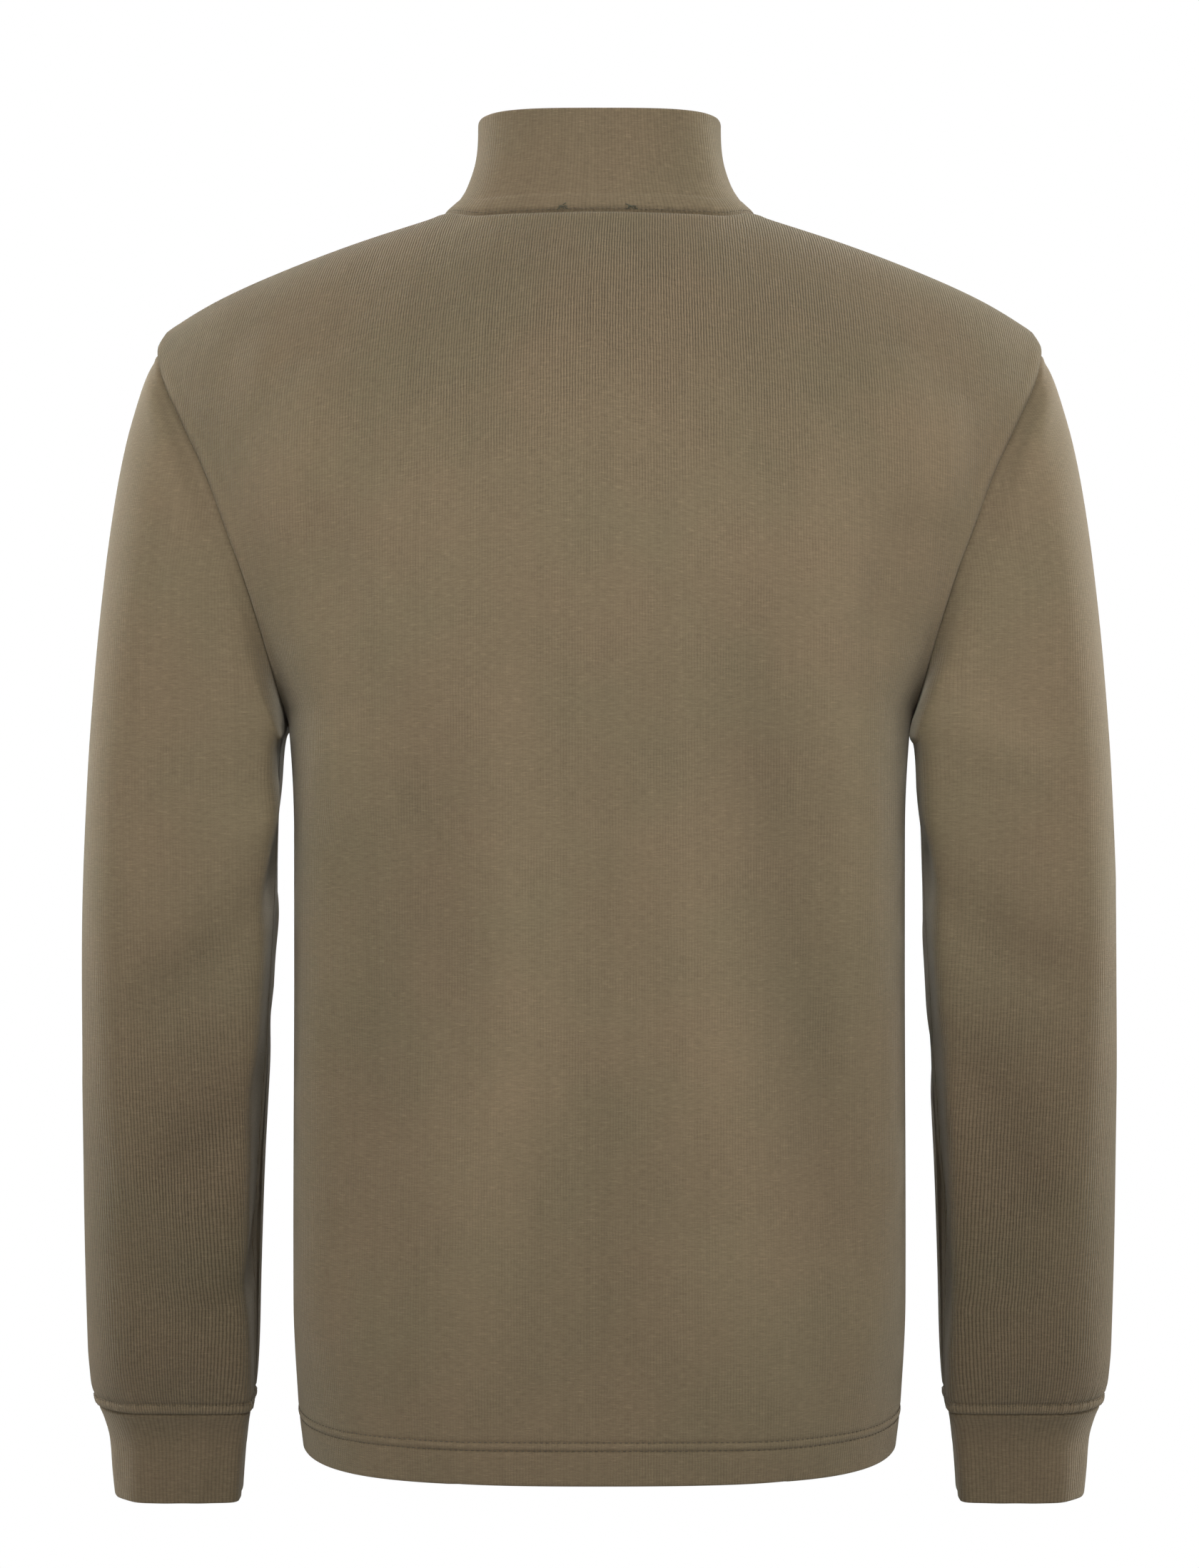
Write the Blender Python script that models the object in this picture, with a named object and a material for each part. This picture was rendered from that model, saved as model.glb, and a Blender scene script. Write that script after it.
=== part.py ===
"""A ribbed cotton quarter zip sweater, filled out as if worn, with nobody inside it.

Metres, +Z up. The front faces -Y and the wearer's left is +X. The origin is at the
back of the neck, between the shoulders. Every cloth piece is a wall between an
outer surface and the same surface moved inward by the cloth's thickness.
"""

import math

import bmesh
import bpy
import numpy as np
from mathutils import Matrix

# Driving dimensions.
CLOTH = 0.0016  # rib knit, one layer
DOUBLE_CLOTH = 0.0032  # collar, cuffs and turned hem
SEAM_GAP = 0.0003
HEM_DEPTH = 0.025
HEM_SIDE_LIFT = 0.005  # how much higher the hem hangs at the sides
ARMPIT_Z = -0.287
SLOPE_HEIGHT = 0.265  # a typical rise from armpit level to the shoulder's ridge
SLOPE_DEPTH = 0.110  # and its reach from the ridge to the back or the chest
RIDGE_SQUARENESS = 2.6  # how square the slope from back to shoulder to front is
SHOULDER_SEAM_TURN = 1.06  # 1 is the ridge of the shoulder, 2 is the chest
NECK_HALF_WIDTH = 0.0922
NECK_BACK_Y = 0.070
NECK_FRONT_Y = -0.095
NECK_SQUARENESS = 2.2
COLLAR_HALF_WIDTH = 0.0704
COLLAR_BACK_Y = 0.062
COLLAR_FRONT_Y = -0.074
COLLAR_SQUARENESS = 3.4
COLLAR_BACK_Z = 0.060
COLLAR_FRONT_Z = 0.034
ZIP_GAP = 0.0048  # from the centre front to the cloth's edge on each side
ZIP_DEPTH = 0.0027  # the chain's middle lies this far inside the cloth's outer face
ZIP_FOOT_Z = -0.226
TAPE_WIDTH = 0.0115
TAPE = 0.0010
CHAIN_WIDTH = 0.0050
CHAIN_THICK = 0.0022
SLIDER_LENGTH = 0.0110
SLIDER_WIDTH = 0.0082
SLIDER_DROP = 0.0010  # from the zip's top to the slider
PLATE = 0.0012  # the slider's two plates
BRIDGE = 0.0010
BRIDGE_LENGTH = 0.0072
BRIDGE_FOOT = 0.0012
BAR = 0.0008  # half the width of the bridge and of the slider's post
POST_LENGTH = 0.0020
PIN_HEIGHT = 0.0020  # the pull's crossbar stands this far out from the slider's plate
PULL_LENGTH = 0.0270
PULL_WIDTH = 0.0058
PULL_EYE = 0.0028  # the width of the eye that the bridge passes through
PULL_EYE_END = 0.0064
PULL_THICK = 0.0014
PULL_BAR = 0.0005  # half the thickness of its crossbar
STOP_LENGTH = 0.0031
STOP_END = 0.0026  # from the stop to the foot of the slit
CHAIN_START = 0.0025  # from the slider's middle line to the first closed tooth, past its end
TAPE_END = 0.0020  # how far the tapes stop short of the slit's foot and the collar's top
SUNK = 0.0002  # how far boxes that make one solid reach into each other

# Level sections of the body: half width at the side, back and front depths, and how
# square the section is. Above the armpit the armholes cut the sections short.
TORSO = (
    # z, half_width, back_y, front_y, squareness
    (-0.7080, 0.1712, 0.1180, -0.1210, 2.60),
    (-0.6800, 0.1740, 0.1185, -0.1215, 2.75),
    (-0.6200, 0.1760, 0.1180, -0.1220, 3.00),
    (-0.5300, 0.1763, 0.1120, -0.1225, 3.00),
    (-0.4300, 0.1763, 0.1070, -0.1235, 3.00),
    (-0.3500, 0.1766, 0.1120, -0.1280, 3.00),
    (-0.2870, 0.1790, 0.1190, -0.1320, 3.00),
    (-0.2500, 0.1975, 0.1220, -0.1330, 2.90),
    (-0.2100, 0.2225, 0.1240, -0.1330, 2.70),
    (-0.1700, 0.2505, 0.1250, -0.1320, 2.50),
    (-0.1300, 0.2680, 0.1240, -0.1300, 2.40),
    (-0.0800, 0.2850, 0.1210, -0.1280, 2.30),
    (0.0400, 0.3000, 0.1180, -0.1260, 2.20),
)
# The top line of the shoulders, carried on under the collar.
SHOULDER = (
    # x, z, y
    (0.0000, 0.0280, 0.0100),
    (0.0500, 0.0190, 0.0080),
    (0.0923, 0.0055, 0.0050),
    (0.1405, -0.0097, 0.0020),
    (0.1845, -0.0260, 0.0000),
    (0.2200, -0.0415, -0.0020),
    (0.2455, -0.0562, -0.0030),
    (0.2512, -0.0604, -0.0030),
    (0.2562, -0.0726, -0.0030),
    (0.2700, -0.1100, -0.0030),
)
# The armhole's edge on the body, from the armpit to the shoulder. The front is cut
# further in by scoop.
ARMHOLE = (
    # z, x, scoop
    (-0.2870, 0.1790, 0.000),
    (-0.2647, 0.1842, 0.001),
    (-0.2400, 0.1907, 0.004),
    (-0.2066, 0.2008, 0.007),
    (-0.1797, 0.2106, 0.008),
    (-0.1500, 0.2218, 0.008),
    (-0.1190, 0.2367, 0.005),
    (-0.0943, 0.2488, 0.002),
    (-0.0720, 0.2562, 0.000),
)
# The sleeve's sections from the armhole down: where each meets the outer and the
# inner outline, its depth from front to back, and how far forward its middle is.
SLEEVE = (
    # outer_x, outer_z, inner_x, inner_z, half_depth, middle_y, squareness
    (0.2648, -0.0930, 0.1812, -0.2915, 0.0810, -0.0030, 2.2),
    (0.2730, -0.1230, 0.1823, -0.2965, 0.0815, -0.0030, 2.2),
    (0.2800, -0.1600, 0.1834, -0.3040, 0.0800, -0.0030, 2.2),
    (0.2858, -0.2040, 0.1844, -0.3160, 0.0770, -0.0020, 2.2),
    (0.2909, -0.2560, 0.1852, -0.3360, 0.0740, -0.0010, 2.2),
    (0.2953, -0.3200, 0.1865, -0.3720, 0.0710, 0.0010, 2.2),
    (0.2982, -0.3980, 0.1885, -0.4250, 0.0680, 0.0020, 2.2),
    (0.2990, -0.4720, 0.1913, -0.4840, 0.0650, -0.0020, 2.2),
    (0.2998, -0.5380, 0.1955, -0.5440, 0.0620, -0.0110, 2.2),
    (0.3005, -0.6040, 0.1998, -0.6080, 0.0590, -0.0220, 2.2),
    (0.3005, -0.6500, 0.2022, -0.6530, 0.0560, -0.0300, 2.2),
    (0.2995, -0.6710, 0.2035, -0.6725, 0.0520, -0.0335, 2.2),
    (0.2958, -0.6865, 0.2052, -0.6870, 0.0465, -0.0350, 2.2),
)
CUFF = (
    # outer_x, outer_z, inner_x, inner_z, half_depth, middle_y, squareness
    (0.2925, -0.6945, 0.2076, -0.6950, 0.0425, -0.0360, 2.2),
    (0.2892, -0.7080, 0.2094, -0.7080, 0.0395, -0.0375, 2.2),
    (0.2882, -0.7250, 0.2110, -0.7250, 0.0385, -0.0390, 2.2),
    (0.2868, -0.7415, 0.2122, -0.7415, 0.0378, -0.0405, 2.2),
)

# How finely each piece is cut into cells.
PANEL_COLUMNS = 11  # from the centre to the side seam
BODY_ROWS = 10  # from the hem to the armpit
ARMHOLE_ROWS = 10  # from the armpit to the shoulder seam
NECK_COLUMNS = 4  # of the panel's columns, how many end at the neck
COLLAR_ROWS = (0.0, 0.12, 0.30, 0.60, 1.0)
ZIP_CELLS = 21
FINE = 400  # samples along a curve before it is cut into cells

OLIVE = (0.180, 0.145, 0.092, 1.0)
METAL = (0.32, 0.29, 0.24, 1.0)
METALLIC = 0.9
METAL_ROUGHNESS = 0.35
CLOTH_ROUGHNESS = 0.9


def smooth(xs, table, column):
    """The table's column at each x, on a curve through its rows that doesn't overshoot."""
    rows = np.array(table, float)
    rows = rows[np.argsort(rows[:, 0])]
    knots, values = rows[:, 0], rows[:, column]
    step = np.diff(knots)
    slope = np.diff(values) / step
    inner = np.where(
        slope[:-1] * slope[1:] > 0,
        2 * slope[:-1] * slope[1:] / (slope[:-1] + slope[1:] + 1e-30),
        0.0,
    )
    tangent = np.concatenate([slope[:1], inner, slope[-1:]])
    xs = np.clip(xs, knots[0], knots[-1])
    i = np.clip(np.searchsorted(knots, xs) - 1, 0, len(knots) - 2)
    t = (xs - knots[i]) / step[i]
    return (
        values[i] * (1 + 2 * t) * (1 - t) ** 2
        + tangent[i] * step[i] * t * (1 - t) ** 2
        + values[i + 1] * t * t * (3 - 2 * t)
        + tangent[i + 1] * step[i] * t * t * (t - 1)
    )


def depth_at(x, z, front):
    """How far back or forward the body's level section reaches at x."""
    half = smooth(z, TORSO, 1)
    reach = smooth(z, TORSO, 3 if front else 2)
    square = smooth(z, TORSO, 4)
    share = np.clip(np.abs(x) / half, 0, 1)
    return reach * (1 - share**square) ** (1 / square)


def turned_angle():
    """Angles that divide a shoulder's slope, from armpit level to its ridge, evenly."""
    angle = np.linspace(0, math.pi / 2, FINE)
    up = SLOPE_HEIGHT * np.sin(angle) ** (2 / RIDGE_SQUARENESS)
    out = SLOPE_DEPTH * np.cos(angle) ** (2 / RIDGE_SQUARENESS)
    run = np.concatenate([[0], np.cumsum(np.hypot(np.diff(up), np.diff(out)))])
    return angle, run / run[-1]


ANGLES, RUNS = turned_angle()


def upper_point(x, turn):
    """The body above the armpit. turn is 0 at the back, 1 on the shoulder, 2 in front."""
    x, turn = np.broadcast_arrays(np.asarray(x, float), np.asarray(turn, float))
    front = turn > 1
    angle = np.interp(np.where(front, 2 - turn, turn), RUNS, ANGLES)
    rise = np.sin(angle) ** (2 / RIDGE_SQUARENESS)
    reach = np.cos(angle) ** (2 / RIDGE_SQUARENESS)
    ridge_z = smooth(np.abs(x), SHOULDER, 1)
    ridge_y = smooth(np.abs(x), SHOULDER, 2)
    z = ARMPIT_Z + (ridge_z - ARMPIT_Z) * rise
    full = np.where(front, depth_at(x, z, True), depth_at(x, z, False))
    y = ridge_y + (full - ridge_y) * reach
    return np.stack([x, y, z], -1)


def turn_at(x, z):
    """The back's turn at which the surface over x reaches z."""
    ridge_z = smooth(np.abs(x), SHOULDER, 1)
    rise = np.clip((z - ARMPIT_Z) / (ridge_z - ARMPIT_Z), 0, 1)
    return np.interp(np.arcsin(rise ** (RIDGE_SQUARENESS / 2)), ANGLES, RUNS)


def armhole_x(turn):
    """Where the armhole crosses this turn."""
    z = np.linspace(ARMPIT_Z, ARMHOLE[-1][0], FINE)
    x = smooth(z, ARMHOLE, 1)
    turns = turn_at(x, z)
    turns[-1] = 1.0
    turn = np.asarray(turn, float)
    mirrored = np.where(turn > 1, 2 - turn, turn)
    level = np.interp(mirrored, turns, z)
    return np.interp(mirrored, turns, x) - np.where(turn > 1, smooth(level, ARMHOLE, 2), 0)


def neck_place(around):
    """(x, turn) of the neck seam. around is 0 at the centre back and 1 in front."""
    angle = np.asarray(around, float) * math.pi
    middle = (NECK_BACK_Y + NECK_FRONT_Y) / 2
    half = (NECK_BACK_Y - NECK_FRONT_Y) / 2
    x = NECK_HALF_WIDTH * np.abs(np.sin(angle)) ** (2 / NECK_SQUARENESS)
    y = middle + half * np.sign(np.cos(angle)) * np.abs(np.cos(angle)) ** (
        2 / NECK_SQUARENESS
    )
    ridge_y = smooth(x, SHOULDER, 2)
    ridge_z = smooth(x, SHOULDER, 1)
    front = y < ridge_y
    z = ridge_z.copy()
    for _ in range(12):
        full = np.where(front, depth_at(x, z, True), depth_at(x, z, False))
        reach = np.clip((y - ridge_y) / (full - ridge_y), 0, 1)
        rise = (1 - reach**RIDGE_SQUARENESS) ** (1 / RIDGE_SQUARENESS)
        z = ARMPIT_Z + (ridge_z - ARMPIT_Z) * rise
    turn = np.interp(np.arcsin(rise ** (RIDGE_SQUARENESS / 2)), ANGLES, RUNS)
    return x, np.where(front, 2 - turn, turn)


def seam_around():
    """How far round the neck the shoulder seam meets it."""
    around = np.linspace(0.3, 0.8, FINE)
    turn = neck_place(around)[1]
    return float(np.interp(SHOULDER_SEAM_TURN, turn, around))


SEAM_AROUND = seam_around()


def even_arc(points, count):
    """Places along a polyline, by its own index, that cut it into even lengths."""
    run = np.concatenate([[0], np.cumsum(np.linalg.norm(np.diff(points, axis=0), axis=1))])
    return np.interp(np.linspace(0, run[-1], count), run, np.arange(len(points)))


def lower_grid(front, columns, rows):
    """Points from the hem (row 0) up to armpit level, centre (column 0) to side seam."""
    grid = []
    foot = TORSO[0][0]
    above_hem = np.linspace(foot + HEM_DEPTH + DOUBLE_CLOTH, ARMPIT_Z, rows - 1)
    levels = (foot, foot + HEM_DEPTH, *above_hem)
    for level in levels:
        angle = np.linspace(0, math.pi / 2, FINE)
        square = smooth(level, TORSO, 4)
        x = smooth(level, TORSO, 1) * np.sin(angle) ** (2 / square)
        y = smooth(level, TORSO, 3 if front else 2) * np.cos(angle) ** (2 / square)
        lift = HEM_SIDE_LIFT * (ARMPIT_Z - level) / (ARMPIT_Z - foot)
        line = np.stack([x, y, level + lift * np.sin(angle) ** 8], -1)
        index = even_arc(line, columns + 1)
        grid.append(
            np.stack([np.interp(index, np.arange(FINE), line[:, k]) for k in range(3)], -1)
        )
    return np.array(grid)


def upper_grid(front, columns, rows, neck_columns):
    """(x, turn) of the grid from armpit level up to the neck and the shoulder seam."""
    base = lower_grid(front, columns, 2)[-1][:, 0]
    up = np.linspace(0, 1, rows + 1)
    end = 2.0 if front else 0.0
    side_turn = end + (SHOULDER_SEAM_TURN - end) * up
    right = np.stack([armhole_x(side_turn), side_turn], -1)
    centre = 1.0 if front else 0.0
    neck = np.stack(neck_place(np.linspace(centre, SEAM_AROUND, neck_columns + 1)), -1)
    shoulder_x = np.linspace(neck[-1, 0], right[-1, 0], columns - neck_columns + 1)
    shoulder = np.stack([shoulder_x, np.full_like(shoulder_x, SHOULDER_SEAM_TURN)], -1)
    top = np.concatenate([neck, shoulder[1:]])
    bottom = np.stack([base, np.full_like(base, end)], -1)
    left = np.stack([np.zeros(rows + 1), end + (top[0, 1] - end) * up], -1)
    s = np.linspace(0, 1, columns + 1)[None, :, None]
    t = up[:, None, None]
    return (
        (1 - t) * bottom[None]
        + t * top[None]
        + (1 - s) * left[:, None]
        + s * right[:, None]
        - (1 - s) * (1 - t) * bottom[0]
        - s * (1 - t) * bottom[-1]
        - (1 - s) * t * top[0]
        - s * t * top[-1]
    )


def panel_grid(front):
    """One half of the front or back, hem to shoulder, as points on its outer face."""
    lower = lower_grid(front, PANEL_COLUMNS, BODY_ROWS)
    place = upper_grid(front, PANEL_COLUMNS, ARMHOLE_ROWS, NECK_COLUMNS)
    upper = upper_point(place[..., 0], place[..., 1])
    upper[0] = lower[-1]
    return np.concatenate([lower, upper[1:]])


def ring(row, around):
    """Points on a sleeve or cuff section. around is 0 outside, 0.25 behind, 0.5 inside."""
    outer_x, outer_z, inner_x, inner_z, half_depth, middle_y, square = row
    angle = around * 2 * math.pi
    across = np.sign(np.cos(angle)) * np.abs(np.cos(angle)) ** (2 / square)
    deep = np.sign(np.sin(angle)) * np.abs(np.sin(angle)) ** (2 / square)
    return np.stack(
        [
            (outer_x + inner_x) / 2 + (outer_x - inner_x) / 2 * across,
            middle_y + half_depth * deep,
            (outer_z + inner_z) / 2 + (outer_z - inner_z) / 2 * across,
        ],
        -1,
    )


def even_ring(row, shares):
    """A section's points at these shares of its length, starting outside."""
    line = ring(row, np.linspace(0, 1, FINE))
    run = np.concatenate([[0], np.cumsum(np.linalg.norm(np.diff(line, axis=0), axis=1))])
    return np.stack([np.interp(shares * run[-1], run, line[:, k]) for k in range(3)], -1)


def normals_of(grid, around=False):
    """Unit normals of a grid of points, rows by columns. around closes the columns."""
    if around:
        wide = np.concatenate([grid[:, -1:], grid, grid[:, :1]], 1)
        across = wide[:, 2:] - wide[:, :-2]
    else:
        across = np.gradient(grid, axis=1)
    along = np.gradient(grid, axis=0)
    normal = np.cross(across, along)
    return normal / np.linalg.norm(normal, axis=-1, keepdims=True)


def plain_material(name, colour, metallic):
    """One plain material, cloth unless it is metallic."""
    material = bpy.data.materials.new(name)
    material.use_nodes = True
    shader = material.node_tree.nodes["Principled BSDF"]
    shader.inputs["Base Color"].default_value = colour
    shader.inputs["Metallic"].default_value = metallic
    shader.inputs["Roughness"].default_value = METAL_ROUGHNESS if metallic else CLOTH_ROUGHNESS
    return material


def make_object(name, points, faces, colour, metallic):
    """A mesh object with its own material."""
    mesh = bpy.data.meshes.new(name)
    mesh.from_pydata([tuple(p) for p in points], [], faces)
    work = bmesh.new()
    work.from_mesh(mesh)
    bmesh.ops.delete(work, geom=[v for v in work.verts if not v.link_faces], context="VERTS")
    if work.calc_volume(signed=True) < 0:
        bmesh.ops.reverse_faces(work, faces=work.faces)
    work.to_mesh(mesh)
    work.free()
    mesh.shade_smooth()
    mesh.set_sharp_from_angle(angle=math.radians(40))
    mesh.materials.append(plain_material(name, colour, metallic))
    bpy.context.scene.collection.objects.link(bpy.data.objects.new(name, mesh))


def wall(name, outer, inner, present=None, around=False, colour=OLIVE, metallic=0.0):
    """A closed wall between two like grids. present says which cells are cloth."""
    rows, columns = outer.shape[:2]
    cells = (rows - 1, columns if around else columns - 1)
    present = np.ones(cells, bool) if present is None else present
    points = np.concatenate([outer.reshape(-1, 3), inner.reshape(-1, 3)])
    inside = rows * columns

    def corner(i, j):
        return i * columns + j % columns

    faces = []
    for i in range(cells[0]):
        for j in range(cells[1]):
            if not present[i, j]:
                continue
            loop = (corner(i, j), corner(i, j + 1), corner(i + 1, j + 1), corner(i + 1, j))
            faces.append(loop)
            faces.append(tuple(inside + k for k in reversed(loop)))
            beside = ((i - 1, j), (i, j + 1), (i + 1, j), (i, j - 1))
            for side, (a, b) in enumerate(beside):
                b = b % cells[1] if around else b
                if 0 <= a < cells[0] and 0 <= b < cells[1] and present[a, b]:
                    continue
                first, second = loop[side], loop[(side + 1) % 4]
                faces.append((first, inside + first, inside + second, second))
    make_object(name, points, faces, colour, metallic)


def seam(points, inward_a, inward_b, into_a, into_b, closed=False):
    """(inward, apart) along a seam of pieces a and b. Their walls share the inward
    direction there, and apart points from a to b, square to it and to the seam."""
    if closed:
        along = np.roll(points, -1, axis=0) - np.roll(points, 1, axis=0)
    else:
        along = np.gradient(points, axis=0)
    along /= np.linalg.norm(along, axis=-1, keepdims=True)
    into_a = unit(into_a - along * (into_a * along).sum(-1, keepdims=True))
    into_b = unit(into_b - along * (into_b * along).sum(-1, keepdims=True))
    both = inward_a + inward_b
    folded = into_a + into_b
    valley = np.sign((both * folded).sum(-1, keepdims=True))
    inward = both + folded * np.where(valley > 0, 1, -1)
    inward -= along * (inward * along).sum(-1, keepdims=True)
    inward /= np.linalg.norm(inward, axis=-1, keepdims=True)
    apart = np.cross(inward, along)
    apart *= np.sign((apart * (into_b - into_a)).sum(-1, keepdims=True))
    return inward, apart


def unit(vectors):
    return vectors / np.linalg.norm(vectors, axis=-1, keepdims=True)


def mirrored(half):
    """A half grid, centre line first, with its mirror image on the other side."""
    return np.concatenate([(half * (-1.0, 1.0, 1.0))[:, :0:-1], half], 1)


class Half:
    """One half of a panel or the collar, or a whole sleeve: outer points and inward."""

    def __init__(self, grid, around=False, middle=(0.0, 0.0, 0.0)):
        self.grid = grid
        self.inward = normals_of(grid, around)
        centre = grid.mean(1, keepdims=True) if around else np.array(middle)
        towards = ((centre - grid) * self.inward)[..., :2].sum(-1)
        self.inward *= np.sign(towards[1:].mean())
        self.shift = np.zeros_like(grid)

    def moved(self):
        return self.grid + self.shift


def close_side(back, front):
    """The side and shoulder seams between back and front."""
    half_gap = SEAM_GAP / 2
    side = slice(0, BODY_ROWS + 1)
    for piece, facing in ((back, 1.0), (front, -1.0)):
        piece.inward[side, -1] = (-1.0, 0.0, 0.0)
        piece.shift[side, -1] += (0.0, facing * half_gap, 0.0)
    top = slice(NECK_COLUMNS, None)
    inward, apart = seam(
        back.grid[-1, top],
        back.inward[-1, top],
        front.inward[-1, top],
        unit(back.grid[-2, top] - back.grid[-1, top]),
        unit(front.grid[-2, top] - front.grid[-1, top]),
    )
    # The seam's two ends take their inward directions from the neck and the armhole.
    between = slice(NECK_COLUMNS + 1, -1)
    back.inward[-1, between] = front.inward[-1, between] = inward[1:-1]
    back.shift[-1, top] -= apart * half_gap
    front.shift[-1, top] += apart * half_gap


def close_armhole(back, front, sleeve):
    """The armhole seam. It starts at the shoulder seam and runs down the back first."""
    rows = ARMHOLE_ROWS
    down = slice(None, BODY_ROWS - 1, -1)
    up = slice(BODY_ROWS + 1, -1)

    def joined(pick):
        return np.concatenate([pick(back)[down], pick(front)[up]])

    loop_in = joined(lambda half: half.inward[:, -1])
    into_body = joined(lambda half: unit(half.grid[:, -2] - half.grid[:, -1]))
    into_body[rows] = (0.0, 0.0, -1.0)
    into_sleeve = unit(sleeve.grid[1] - sleeve.grid[0])
    inward, apart = seam(
        sleeve.grid[0], loop_in, sleeve.inward[0], into_body, into_sleeve, closed=True
    )
    inward[rows] = (0.0, 0.0, 1.0)
    apart[rows] = (1.0, 0.0, 0.0)
    sleeve.inward[0] = inward
    sleeve.shift[0] += apart * SEAM_GAP / 2
    for half, picked, places in (
        (back, down, slice(0, rows + 1)),
        (front, slice(BODY_ROWS, -1), slice(rows, None)),
    ):
        half.inward[picked, -1] = inward[places]
        half.shift[picked, -1] -= apart[places] * SEAM_GAP / 2
    front.inward[-1, -1] = inward[0]
    front.shift[-1, -1] -= apart[0] * SEAM_GAP / 2


def close_neck(back, front, collar):
    """The neck seam. It runs from the centre back to the centre front."""
    count = NECK_COLUMNS + 1
    panels = (back, front)
    into_panel = [unit(half.grid[-2, :count] - half.grid[-1, :count]) for half in panels]
    loop_in = np.concatenate([back.inward[-1, :count], front.inward[-1, : count - 1][::-1]])
    into_panel = np.concatenate([into_panel[0], into_panel[1][: count - 1][::-1]])
    into_collar = unit(collar.grid[1] - collar.grid[0])
    inward, apart = seam(
        collar.grid[0], loop_in, collar.inward[0], into_panel, into_collar
    )
    collar.inward[0] = inward
    collar.shift[0] += apart * SEAM_GAP / 2
    back.inward[-1, :count] = inward[:count]
    back.shift[-1, :count] -= apart[:count] * SEAM_GAP / 2
    front.inward[-1, :count] = inward[count - 1 :][::-1]
    front.shift[-1, :count] -= apart[count - 1 :][::-1] * SEAM_GAP / 2


def flatten_centre(half):
    """Keeps a half's centre line on the plane of symmetry."""
    half.inward[:, 0, 0] = 0
    half.inward[:, 0] = unit(half.inward[:, 0])
    half.shift[:, 0, 0] = 0


def build_panels(back, front):
    """Back and front, each a wall that is double at the turned hem."""
    for name, half in (("back", back), ("front", front)):
        flatten_centre(half)
        outer = half.moved()
        deep = np.full(outer.shape[:2], CLOTH)
        deep[:2] = DOUBLE_CLOTH
        inner = outer + half.inward * deep[..., None]
        if name == "back":
            wall(name, mirrored(outer), mirrored(inner))
        else:
            build_slit_front(mirrored(outer), mirrored(inner))


def build_slit_front(outer, inner):
    """The front, whose centre line opens into the zip's slit."""
    middle = outer.shape[1] // 2
    foot = int(np.argmin(np.abs(outer[:, middle, 2] - ZIP_FOOT_Z)))

    def opened(grid):
        left, right = grid[:, middle].copy(), grid[:, middle].copy()
        left[:, 0], right[:, 0] = -ZIP_GAP, ZIP_GAP
        return np.concatenate(
            [grid[:, :middle], left[:, None], right[:, None], grid[:, middle + 1 :]], 1
        )

    present = np.ones((outer.shape[0] - 1, outer.shape[1]), bool)
    present[foot:, middle] = False
    wall("front", opened(outer), opened(inner), present)


def sleeve_shares(armhole_points):
    """Each armhole point's share of the loop's length, from the shoulder round."""
    loop = np.concatenate([armhole_points, armhole_points[:1]])
    run = np.concatenate([[0], np.cumsum(np.linalg.norm(np.diff(loop, axis=0), axis=1))])
    return (run / run[-1])[:-1]


def sleeve_grid(back, front):
    """The left sleeve's outer points, from the armhole's own points to the wrist."""
    loop = np.concatenate(
        [back.grid[: BODY_ROWS - 1 : -1, -1], front.grid[BODY_ROWS + 1 : -1, -1]]
    )
    shares = sleeve_shares(loop)
    # The armpit point lies on the inner outline, half way round every section.
    pit = ARMHOLE_ROWS
    shares = np.where(
        np.arange(len(shares)) <= pit,
        shares / shares[pit] * 0.5,
        0.5 + (shares - shares[pit]) / (1 - shares[pit]) * 0.5,
    )
    even = np.linspace(0, 1, len(shares) + 1)[:-1]
    rows = [loop]
    eased_rows = 6  # the armhole's own spacing turns into an even one over these
    for k, section in enumerate(SLEEVE):
        ease = min(1.0, (k + 1) / eased_rows)
        rows.append(even_ring(section, shares + (even - shares) * ease))
    return np.array(rows), even


def build_sleeves(sleeve, even):
    """Two sleeves, each with its cuff."""
    cuff_rows = [sleeve.grid[-1]] + [even_ring(section, even) for section in CUFF]
    cuff = Half(np.array(cuff_rows), around=True)
    shared = sleeve.inward[-1] + cuff.inward[0]
    shared[:, 2] = 0
    sleeve.inward[-1] = cuff.inward[0] = unit(shared)
    cuff.shift[0] += (0, 0, -SEAM_GAP)
    for side, sign in (("left", 1.0), ("right", -1.0)):
        mirror = np.array((sign, 1.0, 1.0))
        for name, piece, deep in (("sleeve", sleeve, CLOTH), ("cuff", cuff, DOUBLE_CLOTH)):
            outer = piece.moved()
            inner = outer + piece.inward * deep
            wall(f"{name}_{side}", outer * mirror, inner * mirror, around=True)


def collar_top(around):
    """The collar's top edge, from the centre back (0) to the centre front (1)."""
    angle = around * math.pi
    middle = (COLLAR_BACK_Y + COLLAR_FRONT_Y) / 2
    half = (COLLAR_BACK_Y - COLLAR_FRONT_Y) / 2
    level_until = 0.45
    forward = np.clip((around - level_until) / (1 - level_until), 0, 1)
    drop = (COLLAR_BACK_Z - COLLAR_FRONT_Z) * forward * forward * (3 - 2 * forward)
    return np.stack(
        [
            COLLAR_HALF_WIDTH * np.abs(np.sin(angle)) ** (2 / COLLAR_SQUARENESS),
            middle
            + half * np.sign(np.cos(angle)) * np.abs(np.cos(angle)) ** (2 / COLLAR_SQUARENESS),
            COLLAR_BACK_Z - drop,
        ],
        -1,
    )


def collar_point(base, around, rise):
    """The collar's outer face: it stands up from the neck seam and draws in quickly."""
    top = collar_top(around)
    flare = (1 - rise) ** 3
    plan = top[..., :2] + (base[..., :2] - top[..., :2]) * flare
    return np.concatenate([plan, base[..., 2:] + (top[..., 2:] - base[..., 2:]) * rise], -1)


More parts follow.
